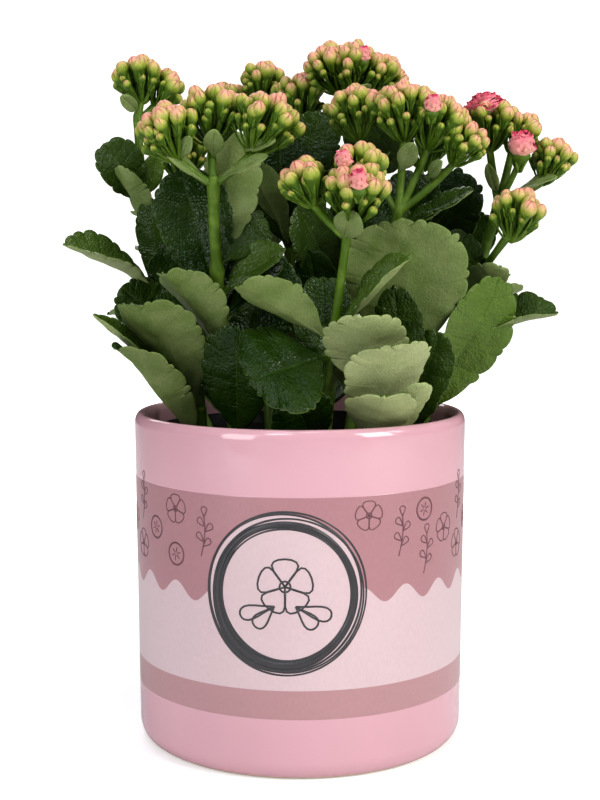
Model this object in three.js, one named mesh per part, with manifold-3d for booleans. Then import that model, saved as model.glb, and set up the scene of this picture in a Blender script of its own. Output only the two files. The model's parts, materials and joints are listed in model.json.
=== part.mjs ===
// Potted kalanchoe in bud, standing in a round glazed ceramic cover pot.
// Millimetres, +Z up. The origin is the middle of the pot's flat underside, -Y faces the viewer.
import * as THREE from "three";
import Module from "manifold-3d";

const wasm = await Module();
wasm.setup();

// ---------- driving dimensions ----------
const TAU = Math.PI * 2;
const POT_HEIGHT = 134;
const POT_TOP_RADIUS = 67.5;
const POT_BASE_RADIUS = 66.4;
const POT_WALL = 5;
const POT_FLOOR = 6;
const POT_CORNER = 8;
const FOOT_RADIUS = 60;
const POT_SIDES = 40;
const LINER_TOP = 127;
const LINER_RADIUS = 59.5;
const LINER_BASE_RADIUS = 46;
const LINER_BASE = 6.4;
const LINER_WALL = 1.2;
const LINER_SIDES = 24;
const SOIL_LEVEL = 118;
const SOIL_SIDES = 16;
const SEAT_GAP = 0.3;
const JOIN_TOLERANCE = 0.2;
const STEM_SIDES = 5;
const STEM_STEPS = 5;
const PETIOLE_SHARE = 0.12;
const PETIOLE_HALF_WIDTH = 1.9;
const LEAF_THICKNESS = 2.2;
const BUD_SIDES = 4;
const YOUNG_SHARE = 0.6;
const PETALS = 5;
// each whorl: reach, height of its throat, height of its tips, as shares of the flower's radius
const PETAL_WHORLS = [[1, -0.4, 0], [0.8, -0.25, 0.25], [0.5, -0.1, 0.45]];
const GOLDEN_ANGLE = 137.5;

// ---------- small helpers ----------
const vec = (x, y, z) => new THREE.Vector3(x, y, z);
const rad = (degrees) => (degrees * Math.PI) / 180;
const smooth = (x) => Math.max(0, Math.min(1, x));

function solidOf(points, triangles) {
  const vertProperties = new Float32Array(points.length * 3);
  points.forEach((p, i) => vertProperties.set([p.x, p.y, p.z], i * 3));
  const triVerts = new Uint32Array(triangles.flat());
  return new wasm.Manifold(new wasm.Mesh({ numProp: 3, vertProperties, triVerts }));
}

// joins overlapping bodies and drops creases finer than the join needs
function fuse(solids) {
  return solids.reduce((sum, solid) => sum.add(solid)).simplify(JOIN_TOLERANCE);
}

function geometryOf(solid) {
  const mesh = solid.getMesh();
  const positions = [];
  for (let i = 0; i < mesh.vertProperties.length; i += mesh.numProp) {
    positions.push(mesh.vertProperties[i], mesh.vertProperties[i + 1], mesh.vertProperties[i + 2]);
  }
  const geometry = new THREE.BufferGeometry();
  geometry.setAttribute("position", new THREE.Float32BufferAttribute(positions, 3));
  geometry.setIndex(Array.from(mesh.triVerts));
  geometry.computeVertexNormals();
  return geometry;
}

// a closed ring-to-ring body: each ring is a list of points, the ends are a point or a ring
function loft(rings) {
  const points = [];
  const starts = [];
  const triangles = [];
  for (const ring of rings) {
    starts.push(points.length);
    points.push(...ring);
  }
  for (let r = 0; r + 1 < rings.length; r += 1) {
    const a = rings[r].length;
    const b = rings[r + 1].length;
    const count = Math.max(a, b);
    for (let i = 0; i < count; i += 1) {
      const a0 = starts[r] + (i % a);
      const a1 = starts[r] + ((i + 1) % a);
      const b0 = starts[r + 1] + (i % b);
      const b1 = starts[r + 1] + ((i + 1) % b);
      if (a > 1) triangles.push([a0, a1, b1]);
      if (b > 1) triangles.push([a0, b1, b0]);
    }
  }
  const cap = (start, n, flip) => {
    for (let i = 1; i + 1 < n; i += 1) {
      triangles.push(flip ? [start, start + i + 1, start + i] : [start, start + i, start + i + 1]);
    }
  };
  cap(starts[0], rings[0].length, true);
  cap(starts[rings.length - 1], rings[rings.length - 1].length, false);
  return solidOf(points, triangles);
}

function sidesOf(direction) {
  const d = direction.clone().normalize();
  const helper = Math.abs(d.z) < 0.9 ? vec(0, 0, 1) : vec(1, 0, 0);
  const u = helper.cross(d).normalize();
  return [u, d.clone().cross(u)];
}

function ringAt(centre, direction, radius, sides, turn = 0) {
  if (radius === 0) return [centre.clone()];
  const [u, v] = sidesOf(direction);
  const ring = [];
  for (let i = 0; i < sides; i += 1) {
    const a = turn + (TAU * i) / sides;
    const offset = u.clone().multiplyScalar(Math.cos(a)).addScaledVector(v, Math.sin(a));
    ring.push(centre.clone().addScaledVector(offset, radius));
  }
  return ring;
}

// a round tapering stalk along a quadratic curve
function stalk(a, b, c, r0, r1, sides, steps) {
  const curve = new THREE.QuadraticBezierCurve3(a, b, c);
  const rings = [];
  for (let i = 0; i <= steps; i += 1) {
    const t = i / steps;
    rings.push(ringAt(curve.getPoint(t), curve.getTangent(t), r0 + (r1 - r0) * t, sides));
  }
  return loft(rings);
}

// ---------- pot, liner and soil ----------
function turned(profile, sides) {
  const rings = profile.map(([radius, z]) => {
    const ring = [];
    if (radius === 0) return [vec(0, 0, z)];
    for (let i = 0; i < sides; i += 1) {
      ring.push(vec(radius * Math.cos((TAU * i) / sides), radius * Math.sin((TAU * i) / sides), z));
    }
    return ring;
  });
  return loft(rings);
}

function ceramicPot() {
  const r = POT_TOP_RADIUS;
  const inner = r - POT_WALL;
  return turned([
    [0, 0],
    [FOOT_RADIUS, 0],
    [POT_BASE_RADIUS - POT_CORNER * 0.3, POT_CORNER * 0.28],
    [POT_BASE_RADIUS, POT_CORNER],
    [r, POT_HEIGHT - 4],
    [r - 0.8, POT_HEIGHT - 1.2],
    [r - 2.3, POT_HEIGHT],
    [inner + 0.9, POT_HEIGHT - 0.9],
    [inner, POT_HEIGHT - 4],
    [inner - 1, POT_FLOOR + 5],
    [inner - 6, POT_FLOOR],
    [0, POT_FLOOR],
  ], POT_SIDES);
}

function liner() {
  const lip = LINER_RADIUS;
  return turned([
    [0, LINER_BASE],
    [LINER_BASE_RADIUS, LINER_BASE],
    [lip - 2.2, LINER_TOP - 5],
    [lip, LINER_TOP - 5],
    [lip + 0.8, LINER_TOP],
    [lip - 1.4, LINER_TOP],
    [lip - 2.2 - LINER_WALL, LINER_TOP - 6],
    [LINER_BASE_RADIUS - LINER_WALL, LINER_BASE + LINER_WALL],
    [0, LINER_BASE + LINER_WALL],
  ], LINER_SIDES);
}

function soil(holes) {
  const taper = (LINER_RADIUS - 3.4 - LINER_BASE_RADIUS) / (LINER_TOP - LINER_BASE);
  const bottom = LINER_BASE + LINER_WALL + SEAT_GAP;
  const edge = (z) => LINER_BASE_RADIUS - LINER_WALL - 0.6 + taper * (z - LINER_BASE);
  const body = turned([
    [0, bottom],
    [edge(bottom), bottom],
    [edge(SOIL_LEVEL - 2), SOIL_LEVEL - 2],
    [edge(SOIL_LEVEL) - 3, SOIL_LEVEL],
    [0, SOIL_LEVEL],
  ], SOIL_SIDES);
  return holes.reduce((rest, hole) => rest.subtract(hole), body);
}

// ---------- leaf ----------
function lobesFor(leaf, length) {
  if (length < 24) return 0;
  if (!leaf.tip || length < 34) return 5;
  return length > 42 ? 9 : 7;
}

// half of the leaf's outline as [along, across], without its lobes
function plainSide(length, width, count) {
  const belly = Math.pow(0.62, 0.8) * Math.sqrt(0.38);
  const side = [];
  for (let i = 0; i <= count; i += 1) {
    const s = i / count;
    const across = (width / 2) * (Math.pow(s, 0.8) * Math.sqrt(1 - s)) / belly;
    side.push([
      length * (PETIOLE_SHARE + (1 - PETIOLE_SHARE) * s),
      s < 0.5 ? Math.max(across, PETIOLE_HALF_WIDTH) : across,
    ]);
  }
  return side;
}

// the margin from one side of the stalk round the tip to the other side
function marginOf(length, width, lobes) {
  const side = [[0, PETIOLE_HALF_WIDTH], ...plainSide(length, width, 40)];
  const full = [...side, ...side.slice(0, -1).reverse().map(([x, y]) => [x, -y])];
  const run = [0];
  for (let i = 1; i < full.length; i += 1) {
    run.push(run[i - 1] + Math.hypot(full[i][0] - full[i - 1][0], full[i][1] - full[i - 1][1]));
  }
  const total = run[run.length - 1];
  const at = (a) => {
    let i = 1;
    while (i < run.length - 1 && run[i] < a) i += 1;
    const f = smooth((a - run[i - 1]) / Math.max(run[i] - run[i - 1], 1e-9));
    return [
      full[i - 1][0] + (full[i][0] - full[i - 1][0]) * f,
      full[i - 1][1] + (full[i][1] - full[i - 1][1]) * f,
    ];
  };
  const plainRun = total * 0.17;
  const lobeRun = (total - 2 * plainRun) / Math.max(lobes, 1);
  const depth = Math.min(0.3 * lobeRun, 0.07 * width);
  const points = [at(0), at(length * PETIOLE_SHARE)];
  if (lobes === 0) {
    for (const f of [0.24, 0.36, 0.44, 0.5, 0.56, 0.64, 0.76]) points.push(at(total * f));
  } else {
    for (let i = 0; i <= lobes; i += 1) {
      const phases = i === lobes ? [0] : i === (lobes - 1) / 2 ? [0, 0.2, 0.5, 0.8] : [0, 0.25, 0.75];
      for (const phase of phases) {
        const a = plainRun + lobeRun * (i + phase);
        const [x0, y0] = at(a - 0.4);
        const [x1, y1] = at(a + 0.4);
        const size = Math.hypot(x1 - x0, y1 - y0);
        const out = depth * (Math.sqrt(1 - (2 * phase - 1) ** 2) - 0.4);
        const [x, y] = at(a);
        points.push([x - ((y1 - y0) / size) * out, y + ((x1 - x0) / size) * out]);
      }
    }
  }
  points.push(at(total - length * PETIOLE_SHARE), at(total));
  return points;
}

const headingOf = (heading, slope, length) => vec(
  Math.cos(heading) * Math.cos(slope), Math.sin(heading) * Math.cos(slope), Math.sin(slope),
).multiplyScalar(length);

// maps the flat leaf into space: an arched, cupped and waved blade
function blade(leaf, base) {
  const reach = leaf.tip ? vec(...leaf.tip).sub(base) : headingOf(leaf.heading, leaf.slope, leaf.length);
  const chord = reach.clone();
  const span = chord.length();
  const along = chord.normalize();
  const arch = rad(leaf.arch || 0.01);
  const length = (span * (arch / 2)) / Math.sin(arch / 2);
  const face = leaf.face ? vec(...leaf.face) : headingOf(leaf.heading, leaf.slope + Math.PI / 2, 1);
  face.addScaledVector(along, -face.dot(along)).normalize();
  const start = along.clone().multiplyScalar(Math.cos(arch / 2)).addScaledVector(face, Math.sin(arch / 2));
  const up = face.clone().multiplyScalar(Math.cos(arch / 2)).addScaledVector(along, -Math.sin(arch / 2));
  const across = up.clone().cross(start);
  const cup = rad(leaf.cup);
  const place = (x, y, lift) => {
    const s = x / length;
    const angle = arch * s;
    const bow = length / arch;
    const normal = up.clone().multiplyScalar(Math.cos(angle)).addScaledVector(start, Math.sin(angle));
    const fold = (Math.sqrt(y * y + 9) - 3) * Math.sin(cup);
    const ripple = leaf.wave * Math.sin(s * 19) * Math.abs(y) / leaf.width;
    return base.clone()
      .addScaledVector(start, bow * Math.sin(angle))
      .addScaledVector(up, -bow * (1 - Math.cos(angle)))
      .addScaledVector(across, y * Math.cos(cup))
      .addScaledVector(normal, fold + ripple + lift);
  };
  return { length, place };
}

function leafSolid(leaf, base) {
  const { length, place } = blade(leaf, base);
  const lobes = lobesFor(leaf, length);
  const margin = marginOf(length, leaf.width, lobes);
  const middle = (margin.length - 1) / 2;
  const ribStations = length > 24 ? [0, 0.16, 0.5, 0.8] : [0, 0.3, 0.7];
  const half = LEAF_THICKNESS / 2;
  const points = margin.map(([x, y]) => place(x, y, 0));
  const top = ribStations.map((s) => points.push(place(s * length, 0, half * (1 - 0.5 * s))) - 1);
  const under = ribStations.map((s) => points.push(place(s * length, 0, -half * (1 - 0.5 * s))) - 1);
  const triangles = [];
  const sew = (edge, flip) => {
    let i = 0;
    let j = 0;
    while (i < edge.length - 1 || j < ribStations.length - 1) {
      const nextEdge = i < edge.length - 1 ? margin[edge[i + 1]][0] : Infinity;
      const nextRib = j < ribStations.length - 1 ? ribStations[j + 1] * length : Infinity;
      const third = nextEdge <= nextRib ? ["edge", edge[i + 1]] : ["rib", j + 1];
      const pick = (rib) => [edge[i], third[0] === "edge" ? third[1] : rib[third[1]], rib[j]];
      const upper = pick(top);
      const lower = pick(under);
      triangles.push(flip ? [upper[0], upper[2], upper[1]] : upper);
      triangles.push(flip ? lower : [lower[0], lower[2], lower[1]]);
      if (third[0] === "edge") i += 1;
      else j += 1;
    }
  };
  const count = margin.length;
  const left = [...Array(middle + 1).keys()];
  const right = [...Array(middle + 1).keys()].map((i) => count - 1 - i);
  sew(left, true);
  sew(right, false);
  triangles.push([top[0], left[0], under[0]], [right[0], top[0], under[0]]);
  const solid = solidOf(points, triangles);
  return solid;
}

// ---------- the plant's layout ----------
// at: share of the stem's height; tip and face in mm directions; arch and cup in degrees
const leaf = (at, tip, width, face, arch = 15, cup = 20, wave = 0) =>
  ({ at, tip, width, face, arch, cup, wave });

// a leaf given by its heading and slope in degrees and its length
const spray = (at, heading, slope, length, width, arch = 35, cup = 18) =>
  ({ at, heading: rad(heading), slope: rad(slope), length, width, arch, cup, wave: 0 });

const SHOOTS = [
  {
    name: "left_back", root: [-30, 5], via: [-62, 12, 165], top: [-67, 16, 250], radius: [2.3, 1.7],
    leaves: [
      leaf(0.8, [-79.5, 5, 242], 21, [0.35, -0.9, 0.1], 20, 22),
      leaf(0.71, [-73, 0, 233], 18, [0.6, 0.5, 0.6], 15, 20),
      leaf(0.82, [-59, 14, 239], 10, [0.3, -0.8, 0.4], 10, 15),
      leaf(0.54, [-94, -12, 201.5], 26, [0.15, -0.35, 0.9], 25, 35),
      leaf(0.45, [-72.5, -2, 184], 23, [-0.3, -0.8, 0.4], 10, 10),
      leaf(0.52, [-60.5, 3, 220], 16, [-0.4, -0.85, 0.2], 10, 10),
      leaf(0.3, [-50, 3, 206], 26, [-0.1, -0.95, 0.2], 10, 10),
    ],
  },
  {
    name: "front_left", root: [-22, -16], via: [-33, -22, 165], top: [-33, -35, 222], radius: [2.7, 2.2],
    leaves: [
      leaf(0.61, [-47, -14, 230], 30, [-0.05, -0.9, 0.4], 10, 10),
      leaf(0.42, [-52, -42, 191], 28, [0.35, 0.55, 0.75], 25, 30),
      leaf(0.11, [-24, -40, 170], 29, [-0.3, -0.9, 0.2], 10, 10),
      leaf(0.3, [-13, -11, 199], 34, [0.2, -0.9, 0.2], 10, 12),
      leaf(0.65, [-6, -30, 200], 24, [-0.3, -0.6, 0.7], -10, 30),
      leaf(0.55, [-8, -20, 195], 16, [-0.3, -0.6, 0.7], 5, 25),
      leaf(0.74, [-20, -12, 216], 26, [0.2, -0.9, 0.3], 15, 5, 1.5),
      leaf(0.72, [-27, -4, 246], 26, [0.2, 0.8, 0.5], 10, 15),
    ],
  },
  {
    name: "left_low", root: [-38, -14], via: [-39, -15, 130], top: [-40, -17, 146], radius: [2.4, 1.6],
    leaves: [
      leaf(0.7, [-63, -46, 180], 32, [0.3, 0.7, 0.6], 25, 20),
      leaf(0.4, [-79, -34, 175], 18, [0.7, -0.2, 0.7], 15, 40),
      leaf(0.22, [-70, -43, 163], 27, [0.35, 0.3, 0.85], 15, 35),
    ],
  },
  {
    name: "back_left", root: [-12, 26], via: [-17, 50, 175], top: [-20, 57, 248], radius: [2.3, 1.7],
    leaves: [
      spray(0.3, 218, 30, 44, 30),
      spray(0.52, 235, 58, 46, 32),
      spray(0.74, 175, 32, 32, 22),
      spray(0.62, 75, 30, 40, 26),
    ],
  },
  {
    name: "back_mid", root: [-4, 12], via: [-6, 24, 180], top: [-2, 33, 248], radius: [2.3, 1.7],
    leaves: [
      spray(0.22, 250, 48, 42, 28),
      spray(0.34, 238, 56, 46, 30),
      spray(0.46, 195, 44, 44, 30),
      leaf(0.62, [-9, 24, 246], 34, [-0.1, -0.9, 0.3], 15, 10),
      leaf(0.78, [9, 26, 256], 24, [0.1, -0.9, 0.2], 10, 12),
      leaf(0.64, [-21, 12, 236], 17, [0.35, 0.85, 0.3], 10, 15),
    ],
  },
  {
    name: "back_centre", root: [10, 14], via: [16, 20, 180], top: [22, 24, 256], radius: [2.4, 1.8],
    leaves: [
      spray(0.2, 268, 42, 38, 26),
      spray(0.36, 10, 40, 44, 28),
      spray(0.6, 330, 62, 48, 34),
      leaf(0.5, [-1, -8, 216], 26, [0.3, -0.9, 0.2], 10, 15),
      leaf(0.8, [36, 14, 250], 25, [0.1, -0.9, 0.2], 10, 12),
      leaf(0.24, [4, -2, 199], 21, [0, -0.9, 0.3], 10, 10),
      leaf(0.58, [27, 4, 227], 22, [0.1, -0.9, 0.3], 10, 12),
    ],
  },
  {
    name: "right_front", root: [18, -8], via: [25, -7, 165], top: [38, -15, 212], radius: [2.3, 1.8],
    leaves: [
      spray(0.26, 240, 48, 36, 22),
      leaf(0.93, [67, -24, 223], 12, [-0.3, -0.5, 0.8], 10, 25),
      leaf(0.9, [56, -2, 218], 14, [-0.3, -0.5, 0.8], 10, 25),
      leaf(0.8, [49, 4, 230], 28, [-0.3, -0.85, 0.3], 10, 12),
    ],
  },
  {
    name: "right_low", root: [42, -15], via: [43, -16, 140], top: [44, -17, 158], radius: [2.4, 1.6],
    leaves: [
      leaf(0.8, [39.3, -32, 211], 47, [0.1, 0.95, 0.25], 15, 3),
      leaf(0.5, [36, -36, 186], 20, [-0.1, -0.95, 0.2], 10, 10),
      leaf(0.2, [55, -29, 167], 23, [-0.5, -0.8, 0.2], 10, 15),
    ],
  },
  {
    name: "front", root: [4, -28], via: [12, -40, 160], top: [17, -52, 202], radius: [2.1, 1.6],
    leaves: [
      leaf(0.51, [-19, -56, 150], 42, [-0.25, -0.8, 0.5], 30, 5, 1.5),
      leaf(0.58, [-22, -56, 186], 24, [0.1, 0.55, 0.8], 20, 25),
      leaf(0.62, [42, -50, 197], 18, [-0.6, -0.3, 0.7], 5, 40),
      leaf(0.35, [9, -27, 189], 24, [0, -0.9, 0.3], 10, 15),
      leaf(0.12, [-3, -54, 147], 24, [-0.1, -0.85, 0.4], 15, 10),
    ],
  },
  {
    name: "front_low", root: [28, -34], via: [29, -35, 130], top: [31, -37, 148], radius: [2.2, 1.5],
    leaves: [
      leaf(0.8, [21, -62, 176], 32, [0, 0.75, 0.65], 20, 15),
      leaf(0.5, [37, -62, 165], 36, [-0.35, 0.7, 0.6], 20, 12),
      leaf(0.3, [31, -62, 146], 26, [0, 0.7, 0.7], 20, 15),
      leaf(0.2, [47, -52, 150], 15, [-0.2, 0.8, 0.5], 15, 15),
    ],
  },
  {
    name: "right", root: [42, 4], via: [66, -4, 165], top: [80, 3, 216], radius: [2.6, 2],
    side: { at: 0.72, via: [74.5, -8, 193], top: [80.5, -12, 202], radius: [1.7, 1.5] },
    leaves: [
      leaf(0.17, [78.5, -20, 188.5], 29, [0.45, -0.8, 0.35], 10, 20),
      leaf(0.47, [103.5, -8, 174], 27, [-0.2, -0.4, 0.88], 20, 35),
      leaf(0.6, [92, 14, 183], 14, [0, 0.5, 0.8], 10, 10),
      leaf(0.58, [58, -9, 207], 25, [0, -0.9, 0.4], 10, 10),
      leaf(0.55, [79, -18, 193], 20, [0.1, 0.6, 0.8], 10, 30),
    ],
  },
  {
    name: "rear_left", root: [-24, 24], via: [-44, 44, 165], top: [-52, 56, 226], radius: [2.3, 1.7],
    leaves: [
      spray(0.12, 150, 38, 50, 32),
      spray(0.3, 118, 30, 52, 32),
      spray(0.42, 190, 18, 46, 28),
      spray(0.6, 140, 30, 42, 26),
      spray(0.76, 200, 35, 32, 20),
      spray(0.8, 60, 45, 30, 18),
    ],
  },
  {
    name: "rear_right", root: [26, 22], via: [46, 40, 175], top: [52, 46, 232], radius: [2.3, 1.7],
    leaves: [
      spray(0.12, 22, 38, 50, 32),
      spray(0.3, 60, 30, 52, 32),
      spray(0.44, 5, 22, 48, 30),
      spray(0.6, 45, 32, 42, 26),
      spray(0.78, 80, 42, 32, 20),
      leaf(0.62, [72, 25, 229], 37, [-0.2, -0.85, 0.5], 15, 15),
      leaf(0.5, [82, 24, 212], 22, [-0.2, -0.85, 0.5], 15, 15),
    ],
  },
  {
    name: "rear", root: [6, 34], via: [8, 62, 165], top: [10, 76, 218], radius: [2.3, 1.7],
    leaves: [
      spray(0.12, 55, 30, 50, 32),
      spray(0.14, 130, 26, 50, 32),
      spray(0.32, 95, 20, 52, 34, 45),
      spray(0.5, 35, 28, 44, 28),
      spray(0.52, 150, 30, 42, 28),
      spray(0.72, 92, 42, 34, 22),
    ],
  },
];

// truss: where its buds branch, how far they reach, how many they are, and its leaning axis
const truss = (at, reach, buds, axis = [0, 0, 1], spread = 78) => ({ at, reach, buds, axis, spread });
// bract: the small plain leaf at a fork, from its foot to its tip, its width and the way it faces
const bract = (from, tip, width, face) => ({ from, tip, width, face, arch: 12, cup: 15, wave: 0 });

const HEADS = [
  {
    name: "left_back", shoot: "left_back",
    trusses: [truss([-67, 16, 267.5], 9.5, 6, [-0.2, 0, 1]), truss([-57.5, 20, 265], 8, 4, [0.4, 0, 1])],
    bracts: [bract([-66.8, 16, 256], [-73, 8, 262], 6, [-0.3, -0.8, 0.3])],
  },
  {
    name: "front_left", shoot: "front_left",
    trusses: [
      truss([-50, -39, 242], 11, 8, [-0.4, -0.1, 1]),
      truss([-34, -28, 249.5], 12, 8, [0, 0.1, 1]),
      truss([-14, -35, 246], 12.5, 8, [0.4, -0.1, 1]),
    ],
    bracts: [
      bract([-35, -36, 225], [-51, -41, 237], 7, [0.3, -0.6, 0.7]),
      bract([-45, -39, 234], [-41, -44, 242], 6, [-0.2, -0.9, 0.2]),
      bract([-33, -32.5, 235], [-32, -41, 245], 8.5, [0, -0.9, 0.3]),
      bract([-21, -36, 237], [-9, -41, 241], 5.5, [0.1, -0.8, 0.6]),
      bract([-31, -36, 226], [-12, -43, 235], 8, [-0.2, -0.7, 0.7]),
    ],
  },
  {
    name: "back_left", shoot: "back_left",
    trusses: [truss([-17, 58, 270], 9.5, 6), truss([-33, 58, 262], 8.5, 5, [-0.3, 0, 1])],
    bracts: [],
  },
  { name: "back_mid", shoot: "back_mid", trusses: [truss([-1, 36, 261], 11, 7)], bracts: [] },
  {
    name: "back_centre", shoot: "back_centre",
    trusses: [
      truss([12.5, 24, 272.5], 10.5, 6, [-0.4, -0.1, 1]),
      truss([22, 22, 273], 11, 6, [0, -0.2, 1]),
      truss([32.5, 27, 269.5], 10.5, 6, [0.45, 0, 1]),
    ],
    bracts: [bract([24, 23, 260], [27, 12, 266], 10, [0, -0.6, 0.8])],
  },
  {
    name: "right_front", shoot: "right_front",
    trusses: [
      truss([22, -6, 252], 11, 8, [-0.2, 0, 1]),
      truss([40, -16, 252], 12, 8, [-0.1, -0.1, 1]),
      truss([53, -14, 248], 11.5, 7, [0.3, 0, 1]),
      truss([64, -15, 240], 9.5, 6, [0.5, -0.1, 1]),
    ],
    bracts: [
      bract([39.5, -16, 230], [44, -23, 241], 8.5, [0.1, -0.9, 0.3]),
      bract([50, -16, 227], [56, -21, 234], 6, [0, -0.8, 0.5]),
    ],
  },
  {
    name: "front", shoot: "front",
    trusses: [
      truss([2, -54, 223], 8.5, 5, [-0.4, -0.1, 1]),
      truss([22, -50, 229], 9, 5, [0.1, 0.1, 1]),
      truss([20, -57, 219], 11.5, 8, [0.1, -0.35, 1]),
    ],
    bracts: [bract([16, -53, 204], [20, -62, 214], 12, [0, -0.95, 0.3])],
  },
  {
    name: "right", shoot: "right",
    trusses: [
      truss([77, 5, 248.5], 11, 7),
      truss([88.5, 5, 245.5], 8.5, 4, [0.4, 0, 1]),
      truss([101.5, 5, 234], 9.5, 6, [0.3, 0, 1]),
    ],
    bracts: [
      bract([80.3, 3.6, 222], [75, -6, 234], 5.5, [-0.3, -0.8, 0.3]),
      bract([87, 3, 222], [104, -1, 229], 9, [-0.2, -0.5, 0.8]),
    ],
    blooms: [
      { at: [74.5, 4, 259], axis: [-0.2, -0.2, 1], radius: 8, from: [77, 5, 248] },
      { at: [89, -5, 240], axis: [0.1, -0.3, 1], radius: 6.5 },
    ],
  },
  {
    name: "right_side", shoot: "right", side: true,
    trusses: [truss([85, -14, 212], 10.5, 6, [0.15, -0.1, 1])], bracts: [],
  },
  { name: "rear_left", shoot: "rear_left", trusses: [truss([-52, 57, 239], 12, 7)], bracts: [] },
  { name: "rear_right", shoot: "rear_right", trusses: [truss([54, 47, 244], 12, 7)], bracts: [] },
  { name: "rear", shoot: "rear", trusses: [truss([10, 78, 231], 12, 7)], bracts: [] },
];

// ---------- stems, leaves, heads ----------
function curveOf(shoot) {
  return new THREE.QuadraticBezierCurve3(
    vec(shoot.root[0], shoot.root[1], SOIL_LEVEL - 8), vec(...shoot.via), vec(...shoot.top));
}

function sideCurveOf(shoot) {
  return new THREE.QuadraticBezierCurve3(
    curveOf(shoot).getPoint(shoot.side.at), vec(...shoot.side.via), vec(...shoot.side.top));
}

function leafyStem(shoot) {
  const curve = curveOf(shoot);
  const [r0, r1] = shoot.radius;
  const parts = [stalk(curve.v0, curve.v1, curve.v2, r0, r1, STEM_SIDES, STEM_STEPS)];
  if (shoot.side) {
    const side = sideCurveOf(shoot);
    parts.push(stalk(side.v0, side.v1, side.v2, ...shoot.side.radius, STEM_SIDES, 3));
  }
  for (const item of shoot.leaves) parts.push(leafSolid(item, curve.getPoint(item.at)));
  return fuse(parts);
}

function stemHole(shoot) {
  const curve = curveOf(shoot);
  const radius = shoot.radius[0] + SEAT_GAP + 0.2;
  const tangent = curve.getTangent(0);
  const low = curve.getPoint(0).addScaledVector(tangent, -SEAT_GAP);
  return loft([
    ringAt(low, tangent, radius, STEM_SIDES),
    ringAt(low.clone().addScaledVector(tangent, 14), tangent, radius + 0.6, STEM_SIDES),
  ]);
}

function budSolid(from, direction, reach, radius, turn, young) {
  const at = (d) => from.clone().addScaledVector(direction, d);
  const rings = [[at(reach * 0.2)], ringAt(at(reach), direction, radius, BUD_SIDES, turn)];
  if (!young) {
    const shoulder = at(reach + radius * 0.85);
    rings.push(ringAt(shoulder, direction, radius * 0.78, BUD_SIDES, turn + Math.PI / BUD_SIDES));
  }
  rings.push([at(reach + radius * (young ? 1.3 : 1.6))]);
  return loft(rings);
}

function trussSolid(item) {
  const from = vec(...item.at);
  const axis = vec(...item.axis).normalize();
  const [u, v] = sidesOf(axis);
  const along = (share) => from.clone().addScaledVector(axis, item.reach * share);
  const parts = [loft([
    [along(-0.2)],
    ringAt(along(0.22), axis, item.reach * 0.56, 6),
    ringAt(along(0.5), axis, item.reach * 0.5, 6),
    [along(0.72)],
  ])];
  for (let i = 0; i < item.buds; i += 1) {
    const share = Math.sqrt((i + 0.4) / item.buds);
    const lean = rad(item.spread) * share;
    const turn = rad(i * GOLDEN_ANGLE);
    const direction = axis.clone().multiplyScalar(Math.cos(lean))
      .addScaledVector(u, Math.sin(lean) * Math.cos(turn))
      .addScaledVector(v, Math.sin(lean) * Math.sin(turn));
    const radius = 3.6 - 0.6 * share + 0.3 * Math.sin(i * 2.4);
    const reach = item.reach * (0.84 + 0.12 * share + 0.07 * Math.sin(i * 1.7));
    parts.push(budSolid(from, direction, reach, radius, turn, share > YOUNG_SHARE));
  }
  return fuse(parts);
}

// an opening double flower: a green calyx, then petals in whorls, each smaller and higher
function bloomSolid(bloom) {
  const centre = vec(...bloom.at);
  const axis = vec(...bloom.axis).normalize();
  const along = (d) => centre.clone().addScaledVector(axis, d);
  const r = bloom.radius;
  const parts = [loft([
    [along(-r * 1.5)],
    ringAt(along(-r * 0.7), axis, r * 0.52, 5),
    ringAt(along(r * 0.1), axis, r * 0.45, 5),
    [along(r * 0.5)],
  ])];
  PETAL_WHORLS.forEach(([size, low, high], whorl) => {
    const outline = ringAt(along(0), axis, 1, PETALS * 2, whorl * 0.36);
    const rim = outline.map((point, i) => {
      const share = i % 2 === 0 ? size : size * 0.78;
      const lift = i % 2 === 0 ? high : (low + high) * 0.5;
      return along(r * lift).addScaledVector(point.clone().sub(centre), r * share);
    });
    parts.push(loft([[along(r * (low - 0.2))], rim, [along(r * (low + 0.25))]]));
  });
  return fuse(parts);
}

function flowerHead(head) {
  const shoot = SHOOTS.find((item) => item.name === head.shoot);
  const curve = head.side ? sideCurveOf(shoot) : curveOf(shoot);
  const tangent = curve.getTangent(1);
  const radius = (head.side ? shoot.side : shoot).radius[1];
  const foot = curve.getPoint(1).addScaledVector(tangent, SEAT_GAP);
  const knuckle = foot.clone().addScaledVector(tangent, 3);
  const parts = [loft([
    ringAt(foot, tangent, radius, STEM_SIDES),
    ringAt(knuckle, tangent, radius * 0.9, STEM_SIDES),
  ])];
  const start = foot.clone().addScaledVector(tangent, 2);
  for (const item of head.trusses) {
    const end = vec(...item.at);
    const middle = start.clone().lerp(end, 0.55);
    middle.z -= start.distanceTo(end) * 0.08;
    parts.push(stalk(start, middle, end, 1.6, 1.3, 4, 2));
    parts.push(trussSolid(item));
  }
  for (const item of head.bracts) parts.push(leafSolid(item, vec(...item.from)));
  for (const bloom of head.blooms || []) {
    const foot = vec(...bloom.at).addScaledVector(vec(...bloom.axis).normalize(), -bloom.radius);
    const from = bloom.from ? vec(...bloom.from) : start;
    parts.push(stalk(from, from.clone().lerp(foot, 0.5), foot, 1.3, 1.2, 4, 1));
    parts.push(bloomSolid(bloom));
  }
  return fuse(parts);
}

// ---------- assembly ----------
const group = new THREE.Group();
group.name = "potted_kalanchoe";

function addNode(name, solid, color, roughness) {
  const material = new THREE.MeshStandardMaterial({ color, roughness });
  const mesh = new THREE.Mesh(geometryOf(solid), material);
  mesh.name = name;
  group.add(mesh);
}

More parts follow.
